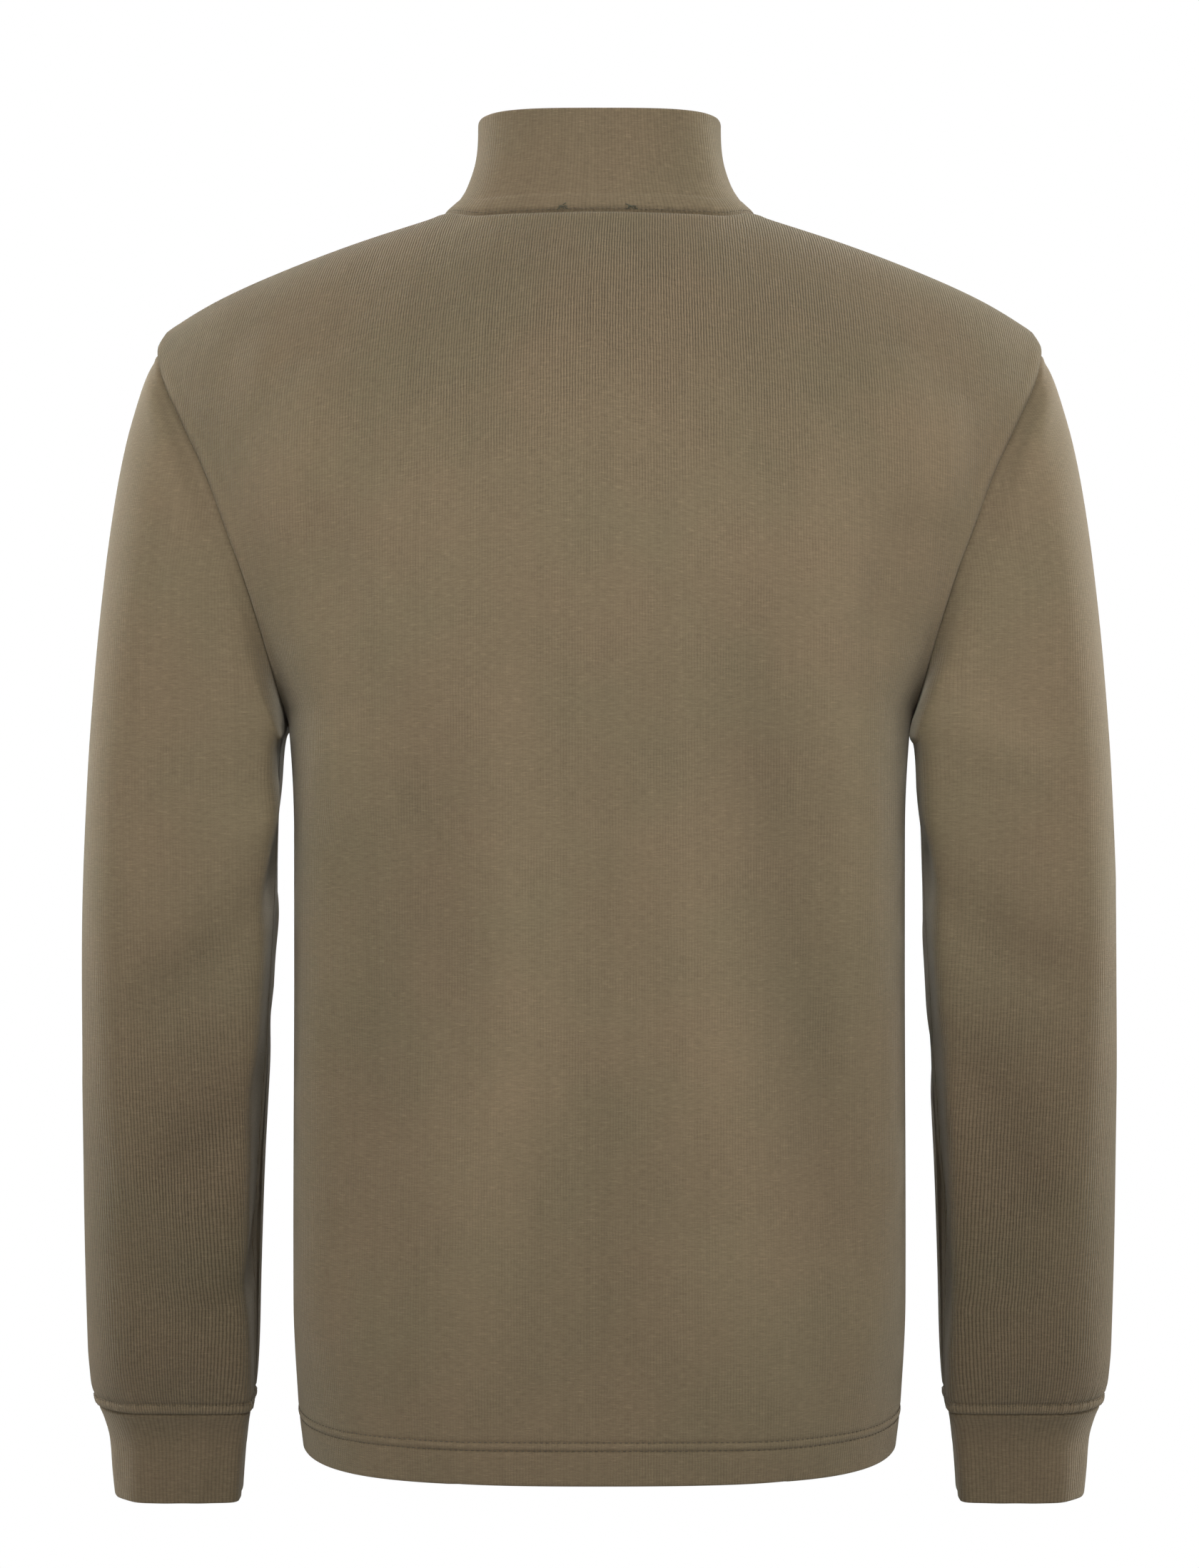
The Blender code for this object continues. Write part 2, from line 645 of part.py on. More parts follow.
def collar_grid(back, front):
    """The left half of the collar's outer points, from its seam up."""
    base = np.concatenate(
        [back.grid[-1, : NECK_COLUMNS + 1], front.grid[-1, NECK_COLUMNS - 1 :: -1]]
    )
    around = np.concatenate(
        [
            np.linspace(0, SEAM_AROUND, NECK_COLUMNS + 1),
            np.linspace(SEAM_AROUND, 1, NECK_COLUMNS + 1)[1:],
        ]
    )
    return np.array([collar_point(base, around, rise) for rise in COLLAR_ROWS])


def build_collar(collar):
    """The stand collar, open at the front, as one wall of doubled rib."""
    flatten_centre(collar)
    outer = collar.moved()
    # The collar stops short of the centre front, as the panel does.
    outer[:, -1, 0] = ZIP_GAP
    collar.inward[:, -1, 0] = 0
    collar.inward[:, -1] = unit(collar.inward[:, -1])
    deep = np.full(outer.shape[:2], DOUBLE_CLOTH)
    # The zip's tape takes the inner layer's place beside the front opening.
    deep[:, -2:] = CLOTH
    deep[:2] = CLOTH
    inner = outer + collar.inward * deep[..., None]
    wall("collar", mirrored(outer), mirrored(inner))


def zip_path():
    """The zip's line down the outer face: collar first, then the front panel."""
    top_rise = 0.96  # the zip ends a little below the collar's top edge
    foot_clear = 0.004
    collar_samples, panel_samples, path_samples = 60, 200, 90
    neck_x, neck_turn = neck_place(np.array([1.0]))
    neck = upper_point(neck_x * 0, neck_turn)
    rises = np.linspace(top_rise, 0, collar_samples)
    collar = np.concatenate([collar_point(neck, np.array([1.0]), r) for r in rises])
    turns = np.linspace(float(neck_turn[0]), 2.0, panel_samples)
    panel = upper_point(np.zeros(panel_samples), turns)
    panel = panel[panel[:, 2] > ZIP_FOOT_Z + foot_clear]
    line = np.concatenate([collar, panel[1:]])
    # The fold where the collar meets the panel is eased, as a stiff tape would.
    for _ in range(60):
        line[1:-1] = line[1:-1] * 0.5 + (line[:-2] + line[2:]) * 0.25
    index = even_arc(line, path_samples)
    return np.stack([np.interp(index, np.arange(len(line)), line[:, k]) for k in range(3)], -1)


def path_inward(line):
    """Unit directions from the zip's line into the garment."""
    along = np.gradient(line, axis=0)
    inward = np.stack([np.zeros(len(line)), -along[:, 2], along[:, 1]], -1)
    inward /= np.linalg.norm(inward, axis=-1, keepdims=True)
    return inward * np.sign(inward[:, 1:2])


def chain_bar(name, line):
    """A metal bar of the closed chain's section along the zip's line."""
    inward = path_inward(line)
    low, high = line.copy(), line.copy()
    low[:, 0], high[:, 0] = -CHAIN_WIDTH / 2, CHAIN_WIDTH / 2
    both = np.stack([low, high], 1)
    outer = both + inward[:, None] * (ZIP_DEPTH - CHAIN_THICK / 2)
    inner = both + inward[:, None] * (ZIP_DEPTH + CHAIN_THICK / 2)
    wall(name, outer, inner, colour=METAL, metallic=METALLIC)


def boxes_object(name, frame, boxes):
    """Boxes in the frame's own axes, across, down and out, joined by Boolean unions."""
    things = []
    for k, (low, high) in enumerate(boxes):
        size = [b - a for a, b in zip(low, high)]
        centre = [(a + b) / 2 for a, b in zip(low, high)]
        place = frame @ Matrix.Translation(centre) @ Matrix.Diagonal((*size, 1.0))
        work = bmesh.new()
        bmesh.ops.create_cube(work, size=1.0, matrix=place)
        mesh = bpy.data.meshes.new(f"{name}_{k}")
        work.to_mesh(mesh)
        work.free()
        thing = bpy.data.objects.new(name if k == 0 else f"{name}_cutter_{k}", mesh)
        bpy.context.scene.collection.objects.link(thing)
        things.append(thing)
    first = things[0]
    for k, other in enumerate(things[1:]):
        union = first.modifiers.new(f"join_{k}", "BOOLEAN")
        union.operation = "UNION"
        union.solver = "EXACT"
        union.object = other
        other.hide_render = True
        other.display_type = "WIRE"
    first.data.materials.append(plain_material(name, METAL, METALLIC))
    return first


def tape_row(edge_point, edge_in, next_point, next_in, x_places):
    """(outer points, inward) across one row of a tape, along the cloth in front of it."""
    share = np.clip((x_places - ZIP_GAP) / (next_point[0] - ZIP_GAP), 0, 1)[:, None]
    start = np.array((ZIP_GAP, edge_point[1], edge_point[2]))
    points = start + (next_point - start) * share
    points[:, 0] = x_places
    inward = edge_in + (next_in - edge_in) * share
    return points, unit(inward)


def build_tapes(front, collar):
    """Each tape lies behind the cloth on its side, from the slit's foot to the top."""
    near = CHAIN_WIDTH / 2 + SEAM_GAP
    x_places = np.array((near, ZIP_GAP, near + TAPE_WIDTH))
    panel, upright = front.moved(), collar.moved()
    foot = int(np.argmin(np.abs(panel[:, 0, 2] - ZIP_FOOT_Z)))
    rows = [
        tape_row(panel[i, 0], front.inward[i, 0], panel[i, 1], front.inward[i, 1], x_places)
        for i in range(foot, len(panel))
    ]
    rows += [
        tape_row(
            upright[i, -1], collar.inward[i, -1], upright[i, -2], collar.inward[i, -2], x_places
        )
        for i in range(1, len(upright))
    ]
    points = np.array([row[0] for row in rows])
    inward = np.array([row[1] for row in rows])
    points[0] += unit(points[1] - points[0]) * TAPE_END
    points[-1] -= unit(points[-1] - points[-2]) * TAPE_END
    behind = ZIP_DEPTH - TAPE / 2
    for side, sign in (("left", 1.0), ("right", -1.0)):
        mirror = (sign, 1.0, 1.0)
        outer = (points + inward * behind) * mirror
        inner = (points + inward * (behind + TAPE)) * mirror
        wall(f"zip_tape_{side}", outer, inner)


def build_zip():
    """The chain, its stop, the slider and the pull that hangs on the slider's bridge."""
    fine = zip_path()
    fine_in = path_inward(fine)
    run = np.concatenate([[0], np.cumsum(np.linalg.norm(np.diff(fine, axis=0), axis=1))])

    def at(distance, line=fine):
        return np.stack([np.interp(distance, run, line[:, k]) for k in range(3)], -1)

    slider_run = SLIDER_LENGTH / 2 + SLIDER_DROP
    slider_at = at(slider_run)
    out = -at(slider_run, fine_in)
    down = np.cross((1.0, 0.0, 0.0), out)
    down *= -np.sign(down[2]) if down[2] else 1.0
    frame = Matrix.Identity(4)
    across = np.cross(down, out)
    for k in range(3):
        frame[k][0], frame[k][1], frame[k][2] = across[k], down[k], out[k]
        frame[k][3] = slider_at[k] - out[k] * ZIP_DEPTH
    stop_foot = run[-1] - STOP_END
    stop_top = stop_foot - STOP_LENGTH
    chain_top = SLIDER_LENGTH / 2 + CHAIN_START
    chain_bar("zip_teeth", at(np.linspace(chain_top, stop_top - SEAM_GAP, ZIP_CELLS + 1)))
    chain_bar("zip_stop", at(np.array((stop_top, stop_foot))))
    build_slider(frame)


def build_slider(frame):
    """Slider: two plates round the chain, joined by a post above it, with a bridge."""
    half_width, half_length = SLIDER_WIDTH / 2, SLIDER_LENGTH / 2
    plate_in = CHAIN_THICK / 2 + SEAM_GAP
    plate_out = plate_in + PLATE
    pin_out = plate_out + PIN_HEIGHT
    bridge_low = pin_out + PULL_THICK
    bridge_top = bridge_low + BRIDGE
    leg_top = bridge_top - SUNK
    reach = BRIDGE_LENGTH / 2
    post_end = POST_LENGTH - half_length
    boxes_object(
        "zip_slider",
        frame,
        (
            ((-half_width, -half_length, plate_in), (half_width, half_length, plate_out)),
            ((-half_width, -half_length, -plate_out), (half_width, half_length, -plate_in)),
            ((-BAR, SUNK - half_length, -plate_in - SUNK), (BAR, post_end, plate_in + SUNK)),
            ((-BAR, -reach, plate_out - SUNK), (BAR, BRIDGE_FOOT - reach, leg_top)),
            ((-BAR, reach - BRIDGE_FOOT, plate_out - SUNK), (BAR, reach, leg_top)),
            ((-BAR - SUNK, -reach - SUNK, bridge_low), (BAR + SUNK, reach + SUNK, bridge_top)),
        ),
    )
    build_pull(frame, pin_out)


def build_pull(frame, pin_out):
    """The pull hangs straight down from its crossbar, which lies under the bridge."""
    hinge = bpy.data.objects.new("zip_pull_hinge", None)
    hinge.location = (frame @ Matrix.Translation((0, 0, pin_out))).translation
    bpy.context.scene.collection.objects.link(hinge)
    # Across, down and out, with down along gravity.
    level = Matrix(((1, 0, 0, 0), (0, 0, -1, 0), (0, -1, 0, 0), (0, 0, 0, 1)))
    side, eye, thick = PULL_WIDTH / 2, PULL_EYE / 2, PULL_THICK / 2
    arm_top, arm_end, arm_thick = -PULL_BAR - SUNK, PULL_EYE_END + SUNK, thick - SUNK
    pull = boxes_object(
        "zip_pull",
        level,
        (
            ((-side, PULL_EYE_END, -thick), (side, PULL_LENGTH, thick)),
            ((eye, arm_top, -arm_thick), (side, arm_end, arm_thick)),
            ((-side, arm_top, -arm_thick), (-eye, arm_end, arm_thick)),
            ((-eye - SUNK, -PULL_BAR, -PULL_BAR), (eye + SUNK, PULL_BAR, PULL_BAR)),
        ),
    )
    for thing in [pull] + [union.object for union in pull.modifiers]:
        thing.parent = hinge


for old in list(bpy.data.objects):
    bpy.data.objects.remove(old, do_unlink=True)
BACK = Half(panel_grid(False))
FRONT = Half(panel_grid(True))
SLEEVE_POINTS, EVEN = sleeve_grid(BACK, FRONT)
SLEEVE_HALF = Half(SLEEVE_POINTS, around=True)
COLLAR = Half(collar_grid(BACK, FRONT), middle=(0.0, -0.01, 0.0))
close_side(BACK, FRONT)
close_armhole(BACK, FRONT, SLEEVE_HALF)
close_neck(BACK, FRONT, COLLAR)
build_panels(BACK, FRONT)
build_sleeves(SLEEVE_HALF, EVEN)
build_collar(COLLAR)
build_tapes(FRONT, COLLAR)
build_zip()
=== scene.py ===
"""A quarter zip sweater of ribbed cotton, filled out as if worn, with nobody in it.

Metres unless a comment says mm, +Z up, the front at -Y and the wearer's left at +X. The
origin is in the neck opening. The sections follow the making: back, front, sleeves,
cuffs, collar, zip.
"""

import math

import bmesh
import bpy
import numpy as np
from mathutils import Matrix, Vector
from mathutils.kdtree import KDTree


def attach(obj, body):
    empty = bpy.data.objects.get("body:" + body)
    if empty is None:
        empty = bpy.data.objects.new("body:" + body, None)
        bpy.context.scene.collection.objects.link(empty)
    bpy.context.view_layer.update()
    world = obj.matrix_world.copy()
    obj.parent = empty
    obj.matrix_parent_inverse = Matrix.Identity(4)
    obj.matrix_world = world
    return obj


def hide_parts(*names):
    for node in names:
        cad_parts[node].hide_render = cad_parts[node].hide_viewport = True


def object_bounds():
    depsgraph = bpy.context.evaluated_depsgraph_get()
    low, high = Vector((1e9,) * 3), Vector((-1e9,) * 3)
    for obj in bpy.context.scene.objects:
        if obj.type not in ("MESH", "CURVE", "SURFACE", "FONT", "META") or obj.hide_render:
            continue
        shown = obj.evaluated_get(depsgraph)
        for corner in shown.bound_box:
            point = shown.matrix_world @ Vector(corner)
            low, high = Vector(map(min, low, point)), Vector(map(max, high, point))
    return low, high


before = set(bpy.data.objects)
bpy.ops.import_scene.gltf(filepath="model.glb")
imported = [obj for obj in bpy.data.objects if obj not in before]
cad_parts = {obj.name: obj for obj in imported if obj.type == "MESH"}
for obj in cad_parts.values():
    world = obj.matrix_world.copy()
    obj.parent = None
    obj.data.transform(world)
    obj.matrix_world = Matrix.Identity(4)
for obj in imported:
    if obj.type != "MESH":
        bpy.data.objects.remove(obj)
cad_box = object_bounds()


# ---- The studio: a level camera two metres behind the wearer's back, soft boxes behind
# the camera, at both sides and in front, and a white floor and backdrop.
CAMERA_PLACE = (0.0, 2.1, -0.322)
CAMERA_LENS = 82.9
FLOOR_DROP = 0.035  # the floor lies this far under the cuffs
STUDIO_RADIUS = 14.0
WHITE = (1.0, 1.0, 1.0, 1.0)


def placed(name, data):
    """An object of this data, in the scene."""
    thing = bpy.data.objects.new(name, data)
    bpy.context.scene.collection.objects.link(thing)
    return thing


def soft_box(name, place, aim_z, size, power, spread=180.0):
    """A square area light turned towards the sweater. A grid narrows its spread."""
    lamp = placed(name, bpy.data.lights.new(name, "AREA"))
    lamp.data.energy = power
    lamp.data.size = size
    lamp.data.spread = math.radians(spread)
    lamp.location = place
    aim = Vector((0.0, 0.0, aim_z)) - Vector(place)
    lamp.rotation_euler = aim.to_track_quat("-Z", "Y").to_euler()


def set_values(node, values):
    """Sets a node's own sockets."""
    for socket, value in values.items():
        node.inputs[socket].default_value = value


def new_material(name, values):
    """A material and its shader, with the shader's own sockets set."""
    material = bpy.data.materials.new(name)
    material.use_nodes = True
    shader = material.node_tree.nodes["Principled BSDF"]
    set_values(shader, values)
    return material, shader


camera = placed("camera", bpy.data.cameras.new("camera"))
camera.data.lens = CAMERA_LENS
camera.location = CAMERA_PLACE
camera.rotation_euler = (math.radians(90), 0.0, math.radians(180))
bpy.context.scene.camera = camera
bpy.context.scene.view_settings.view_transform = "Standard"

soft_box("behind_camera", (0.0, 2.5, 0.9), -0.24, 0.6, 2.3, 38.0)
soft_box("front_fill", (0.0, -2.4, 0.3), -0.24, 0.8, 1.60, 34.0)
for side, sign, strength in (("left", 1.0, 1.0), ("right", -1.0, 1.24)):
    soft_box(f"near_{side}", (sign * 1.1, 1.0, 0.1), -0.2, 0.4, 1.6)
    soft_box(f"side_{side}", (sign * 2.2, 0.4, 0.6), -0.2, 0.8, 9.5 * strength)
    soft_box(f"edge_{side}", (sign * 1.9, -0.9, 0.4), -0.2, 0.8, 23.0 * strength)

world = bpy.data.worlds.new("studio")
world.use_nodes = True
set_values(world.node_tree.nodes["Background"], {"Color": WHITE, "Strength": 0.345})
bpy.context.scene.world = world

white, _ = new_material(
    "studio_white",
    {"Base Color": (0.0, 0.0, 0.0, 1.0), "Roughness": 1.0, "Specular IOR Level": 0.0,
     "Emission Color": WHITE, "Emission Strength": 1.0},
)
for stage_name in ("floor", "backdrop"):
    work = bmesh.new()
    if stage_name == "floor":
        bmesh.ops.create_circle(work, cap_ends=True, segments=64, radius=STUDIO_RADIUS)
    else:
        bmesh.ops.create_icosphere(work, subdivisions=4, radius=STUDIO_RADIUS)
    stage_mesh = bpy.data.meshes.new(stage_name)
    work.to_mesh(stage_mesh)
    work.free()
    stage_mesh.materials.append(white)
    stage_piece = placed(stage_name, stage_mesh)
    stage_piece.location.z = cad_box[0][2] - FLOOR_DROP
    for ray in ("diffuse", "glossy", "shadow"):
        setattr(stage_piece, f"visible_{ray}", False)


# ---- The back: one cut piece of single rib knit from the hem to the neck and shoulder
# seams, turned up and sewn with two needles at the hem. Its wales run straight up. The
# garment's whole shape is set out here, since every seam starts from the body's.
CLOTH = 0.0016
DOUBLE_CLOTH = 0.0032
HEM_DEPTH = 0.025
HEM_SIDE_LIFT = 0.005
HEM_STITCHES = (0.0196, 0.0243)  # the two needles' lines, above the hem's edge
ARMPIT_Z = -0.287
SLOPE_HEIGHT = 0.265
SLOPE_DEPTH = 0.110
RIDGE_SQUARENESS = 2.6
SHOULDER_SEAM_TURN = 1.06
NECK_HALF_WIDTH = 0.0922
NECK_BACK_Y = 0.070
NECK_FRONT_Y = -0.095
NECK_SQUARENESS = 2.2
NECK_SEAM_Z = 0.0010  # at the back
NECK_LEVEL = 0.026  # from the neck's side to where its seam runs level
NECK_SHARE = 4 / 11  # of a panel's columns, how many end at the neck
FINE = 400
CELL = 0.0033  # the cloth's mesh, away from its seams
NECK_CELLS = 30  # across half a panel, from its centre to the neck's corner
SIDE_CELLS = 45  # and on to the seam at its side
CROWN_COLUMNS = 220
CROWN_RISE = 0.285  # along the cloth from the armpit to the shoulder seam
SEAM_CELLS = (0.0, 0.0005, 0.0011, 0.0019, 0.0030, 0.0046, 0.0068, 0.0095)
STITCH_CELLS = (-0.0022, -0.0012, -0.0006, 0.0, 0.0006, 0.0012, 0.0022)
SEAM_DITCH, DITCH_WIDTH = 0.0013, 0.0013
SEAM_RIDGE, RIDGE_WIDTH, RIDGE_PLACE = 0.0005, 0.0028, 0.0050
SHARED_WIDTH = 0.004  # this near a seam, its pieces are drawn in the same way
SEAM_STEP = 0.0003
# Along a needle's line the cloth is painted darker as shade.
NEEDLE_WIDTH, NEEDLE_SHADE = 0.0009, 1.5
HEM_RISE, HEM_RISE_WIDTH = 0.0004, 0.0022
SIDE_LIGHT, SIDE_LIGHT_WIDTH = 1.1, 0.016  # painted light along the body's sides
SEAM_FADE = 0.022  # creases die away this near a seam
PAINTED_LIGHT_HEIGHT = 0.005  # a ridge this high gets the full painted light
# Seams get painted shade in their ditches and painted light on their ridges, this much per metre of
# height.
SEAM_PAINTED_LIGHT = 1100.0
TORSO = np.array((
    # z, half_width, back_y and front_y in mm, and squareness
    (-708, 171.2, 118, -121, 2.6),
    (-680, 174, 118.5, -121.5, 2.75),
    (-620, 176, 118, -122, 3.3),
    (-530, 175.8, 114, -122.5, 3.5),
    (-430, 175.6, 108.5, -123.5, 3.5),
    (-350, 175.7, 112, -128, 3.4),
    (-287, 179, 119, -132, 3.2),
    (-250, 197.5, 122, -133, 2.9),
    (-210, 222.5, 124, -133, 2.7),
    (-170, 250.5, 125, -132, 2.5),
    (-130, 268, 124, -130, 2.4),
    (-80, 285, 121, -128, 2.3),
    (40, 300, 118, -126, 2.2),
)) / (1e3, 1e3, 1e3, 1e3, 1)
SHOULDER = np.array((
    # x, z and y in mm
    (0, 28, 10),
    (50, 19, 8),
    (92.3, 5.5, 5),
    (140.5, -9.7, 2),
    (184.5, -26, 0),
    (220, -41.5, -2),
    (245.5, -56.2, -3),
    (251.2, -60.4, -3),
    (256.2, -72.6, -3),
    (270, -110, -3),
)) / 1000
ARMHOLE = np.array((
    # z, x and scoop in mm
    (-287, 179, 0),
    (-264.7, 184.2, 1),
    (-240, 190.7, 4),
    (-206.6, 200.8, 7),
    (-179.7, 210.6, 8),
    (-150, 221.8, 8),
    (-119, 236.7, 5),
    (-94.3, 248.8, 2),
    (-72, 256.2, 0),
)) / 1000
# Soft creases on the flat cloth, in mm: a path's points (across, up from the hem) in
# one row, then its half width and its height.
BACK_CREASES = (
    ((142, 370, 129, 290, 124, 200, 120, 80), 24, -4.6),
    ((172, 500, 156, 430, 150, 350), 20, 3.6),
    ((150, 270, 150, 180, 146, 100), 22, -3.2),
    ((104, 450, 93, 350, 78, 260, 72, 190), 22, -3.8),
    ((56, 440, 43, 350, 44, 250, 60, 170, 78, 0), 22, 4.6),
    ((30, 560, 20, 470, 24, 400), 44, -1.4),
    ((-2, 250, -6, 140, 0, 20), 22, -3),
    ((-30, 400, -52, 300, -74, 180, -96, 70), 24, 4),
    ((-66, 500, -88, 400, -112, 290, -136, 120), 24, -5),
    ((-126, 600, -134, 520, -128, 440, -140, 370), 18, 3.4),
    ((-178, 560, -160, 510, -148, 460), 14, -1.8),
    ((-168, 480, -152, 420, -150, 340, -156, 250), 20, 3.6),
    ((176, 570, 148, 520, 132, 470), 14, -2),
    ((-160, 120, -154, 70, -148, 20), 18, 2.2),
    ((203, 675, 200, 645, 198, 615), 12, 1.8),
    ((-206, 630, -203, 590, -198, 545), 12, 2.2),
    ((120, 400, 112, 280, 118, 170), 36, -2.4),
    ((-104, 300, -130, 200, -146, 100), 28, -2.6),
    ((-60, 140, -84, 70, -104, 0), 34, 4.6),
    ((168, 640, 174, 590, 176, 530), 26, 3.4),
    ((-172, 650, -178, 600, -180, 540), 26, 3.6),
)
RIB_PITCH = 0.0016
LEAN = 0.013  # how far the yoke's wales lean at the neck, from LEAN_FOOT up
LEAN_FOOT = 0.60
LEAN_RISE = 0.13
OLIVE_BROWN = (0.199, 0.149, 0.091, 1.0)
OLIVE_GREEN = (0.184, 0.146, 0.088, 1.0)


def smooth(places, knots, values):
    """Values, or points, between knots, on a curve that doesn't overshoot."""
    places, values = np.asarray(places, float), np.asarray(values, float)
    extra = (1,) * (values.ndim - 1)
    step = np.diff(knots)
    slope = np.diff(values, axis=0) / step.reshape((-1,) + extra)
    product = slope[:-1] * slope[1:]
    inner = np.where(product > 0, 2 * product / (slope[:-1] + slope[1:] + 1e-30), 0.0)
    tangent = np.concatenate([slope[:1], inner, slope[-1:]])
    places = np.clip(places, knots[0], knots[-1])
    i = np.clip(np.searchsorted(knots, places) - 1, 0, len(knots) - 2)
    t = ((places - knots[i]) / step[i]).reshape(places.shape + extra)
    wide = step[i].reshape(places.shape + extra)
    return (
        values[i] * (1 + 2 * t) * (1 - t) ** 2
        + tangent[i] * wide * t * (1 - t) ** 2
        + values[i + 1] * t * t * (3 - 2 * t)
        + tangent[i + 1] * wide * t * t * (t - 1)
    )


def read(table, places, column):
    """A table's column, at these places down its first column."""
    return smooth(places, table[:, 0], table[:, column])


def bell(distance, width, power=2):
    """1 at no distance, dying away over the width."""
    return np.exp(-((distance / width) ** power))


def eased(share):
    """From 0 to 1, slow at both ends."""
    share = np.clip(share, 0, 1)
    return share * share * (3 - 2 * share)


def squared(share, square):
    """A sine or cosine for a ring squarer than an ellipse, whose square is 2."""
    return np.sign(share) * np.abs(share) ** (2 / square)


def joined(*columns):
    """Coordinates, side by side as points."""
    return np.stack(np.broadcast_arrays(*columns), -1)


def run_of(line):
    """The length along a line of points, at each point."""
    return np.concatenate([[0], np.cumsum(np.linalg.norm(np.diff(line[:, :3], axis=0), axis=1))])


def at_lengths(line, lengths):
    """Points at these lengths along a line, with whatever else its columns hold."""
    run = run_of(line)
    return np.stack([np.interp(lengths, run, column) for column in line.T], -1)


def depth_at(x, z, front):
    """How far back or forward the body's level section reaches at x."""
    square = read(TORSO, z, 4)
    share = np.clip(np.abs(x) / read(TORSO, z, 1), 0, 1)
    reach = np.where(front, read(TORSO, z, 3), read(TORSO, z, 2))
    return reach * (1 - share**square) ** (1 / square)


SLOPE_ANGLES = np.linspace(0, math.pi / 2, FINE)
SLOPE_RUNS = run_of(
    joined(
        SLOPE_HEIGHT * squared(np.sin(SLOPE_ANGLES), RIDGE_SQUARENESS),
        SLOPE_DEPTH * squared(np.cos(SLOPE_ANGLES), RIDGE_SQUARENESS),
    )
)
SLOPE_RUNS /= SLOPE_RUNS[-1]


def turn_at(rise):
    """The turn at which the slope above the armpit has risen by this share."""
    return np.interp(np.arcsin(rise ** (RIDGE_SQUARENESS / 2)), SLOPE_ANGLES, SLOPE_RUNS)


def upper_point(x, turn):
    """The body above the armpit. turn is 0 at the back, 1 on the shoulder, 2 in front."""
    x, turn = np.broadcast_arrays(np.asarray(x, float), np.asarray(turn, float))
    front = turn > 1
    angle = np.interp(np.where(front, 2 - turn, turn), SLOPE_RUNS, SLOPE_ANGLES)
    ridge_z, ridge_y = (read(SHOULDER, np.abs(x), column) for column in (1, 2))
    z = ARMPIT_Z + (ridge_z - ARMPIT_Z) * squared(np.sin(angle), RIDGE_SQUARENESS)
    y = ridge_y + (depth_at(x, z, front) - ridge_y) * squared(np.cos(angle), RIDGE_SQUARENESS)
    return joined(x, y, z)


def armhole_x(turn):
    """Where the armhole crosses this turn."""
    z = np.linspace(ARMPIT_Z, ARMHOLE[-1, 0], FINE)
    x = read(ARMHOLE, z, 1)
    turns = turn_at(np.clip((z - ARMPIT_Z) / (read(SHOULDER, x, 1) - ARMPIT_Z), 0, 1))
    turns[-1] = 1.0
    turn = np.asarray(turn, float)
    folded = np.where(turn > 1, 2 - turn, turn)
    scoop = read(ARMHOLE, np.interp(folded, turns, z), 2)
    return np.interp(folded, turns, x) - np.where(turn > 1, scoop, 0)


def oval(half_width, back_y, front_y, square, around):
    """x and y of half a squarish ring. around is 0 at the centre back and 1 in front."""
    angle = np.asarray(around, float) * math.pi
    y = (back_y + front_y) / 2 + (back_y - front_y) / 2 * squared(np.cos(angle), square)
    return half_width * squared(np.sin(angle), square), y


def neck_place(around):
    """The x and turn of the neck seam. around is as in oval."""
    x, y = oval(NECK_HALF_WIDTH, NECK_BACK_Y, NECK_FRONT_Y, NECK_SQUARENESS, around)
    z, ridge_y = (read(SHOULDER, x, column) for column in (1, 2))
    height = z - ARMPIT_Z
    front = y < ridge_y
    for _ in range(12):
        reach = np.clip((y - ridge_y) / (depth_at(x, z, front) - ridge_y), 0, 1)
        rise = (1 - reach**RIDGE_SQUARENESS) ** (1 / RIDGE_SQUARENESS)
        z = ARMPIT_Z + height * rise
    # Across the back of the neck the seam runs level.
    z = z + (NECK_SEAM_Z - z) * np.where(front, 0, eased((NECK_HALF_WIDTH - x) / NECK_LEVEL))
    turn = turn_at(np.where(front, rise, np.clip((z - ARMPIT_Z) / height, 0, 1)))
    return x, np.where(front, 2 - turn, turn)


SEAM_SAMPLES = np.linspace(0.3, 0.8, FINE)
SEAM_AROUND = float(np.interp(SHOULDER_SEAM_TURN, neck_place(SEAM_SAMPLES)[1], SEAM_SAMPLES))


def spaced(length, close_to=(), start=(), end=()):
    """Even places along a length, closer together at sewn ends and at lines close_to."""
    hard = {0.0, length, *map(float, start), *(float(length - step) for step in end)}
    for line in close_to:
        hard |= {line + step for step in STITCH_CELLS}
    hard = sorted(hard)
    places = [hard[0]]
    for low, high in zip(hard[:-1], hard[1:]):
        count = max(1, round((high - low) / CELL))
        places += [low + (high - low) * k / count for k in range(1, count + 1)]
    return np.array(places)


MIRROR = np.array((-1.0, 1.0, 1.0))


class Seam:
    """A sewn line on both sides of the garment, with the outward direction that the
    pieces on it share, so that they are drawn in together."""

    def __init__(self, line, outward):
        line = np.concatenate([line, np.broadcast_to(outward, line.shape)], 1)
        fine = at_lengths(line, np.arange(0, run_of(line)[-1], SEAM_STEP))
        fine = np.concatenate([fine, fine * np.tile(MIRROR, 2)])
        self.outward = fine[:, 3:]
        self.tree = KDTree(len(fine))
        for k, place in enumerate(fine):
            self.tree.insert(place[:3], k)
        self.tree.balance()

    def reach(self, points):
        """Each point's distance to the seam, and the seam's outward direction there."""
        found = [self.tree.find(place)[1:] for place in points.reshape(-1, 3)]
        nearest, gap = (np.array(one) for one in zip(*found))
        return gap.reshape(points.shape[:-1]), self.outward[nearest].reshape(points.shape)


def garment_piece(name, mesh, material, body="garment", sharp=None):
    """A finished mesh as a piece that rides on a body, with sharp edges from an angle."""
    mesh.shade_smooth()
    if sharp:
        mesh.set_sharp_from_angle(angle=math.radians(sharp))
    mesh.materials.append(material)
    piece = placed(name, mesh)
    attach(piece, body)
    return piece


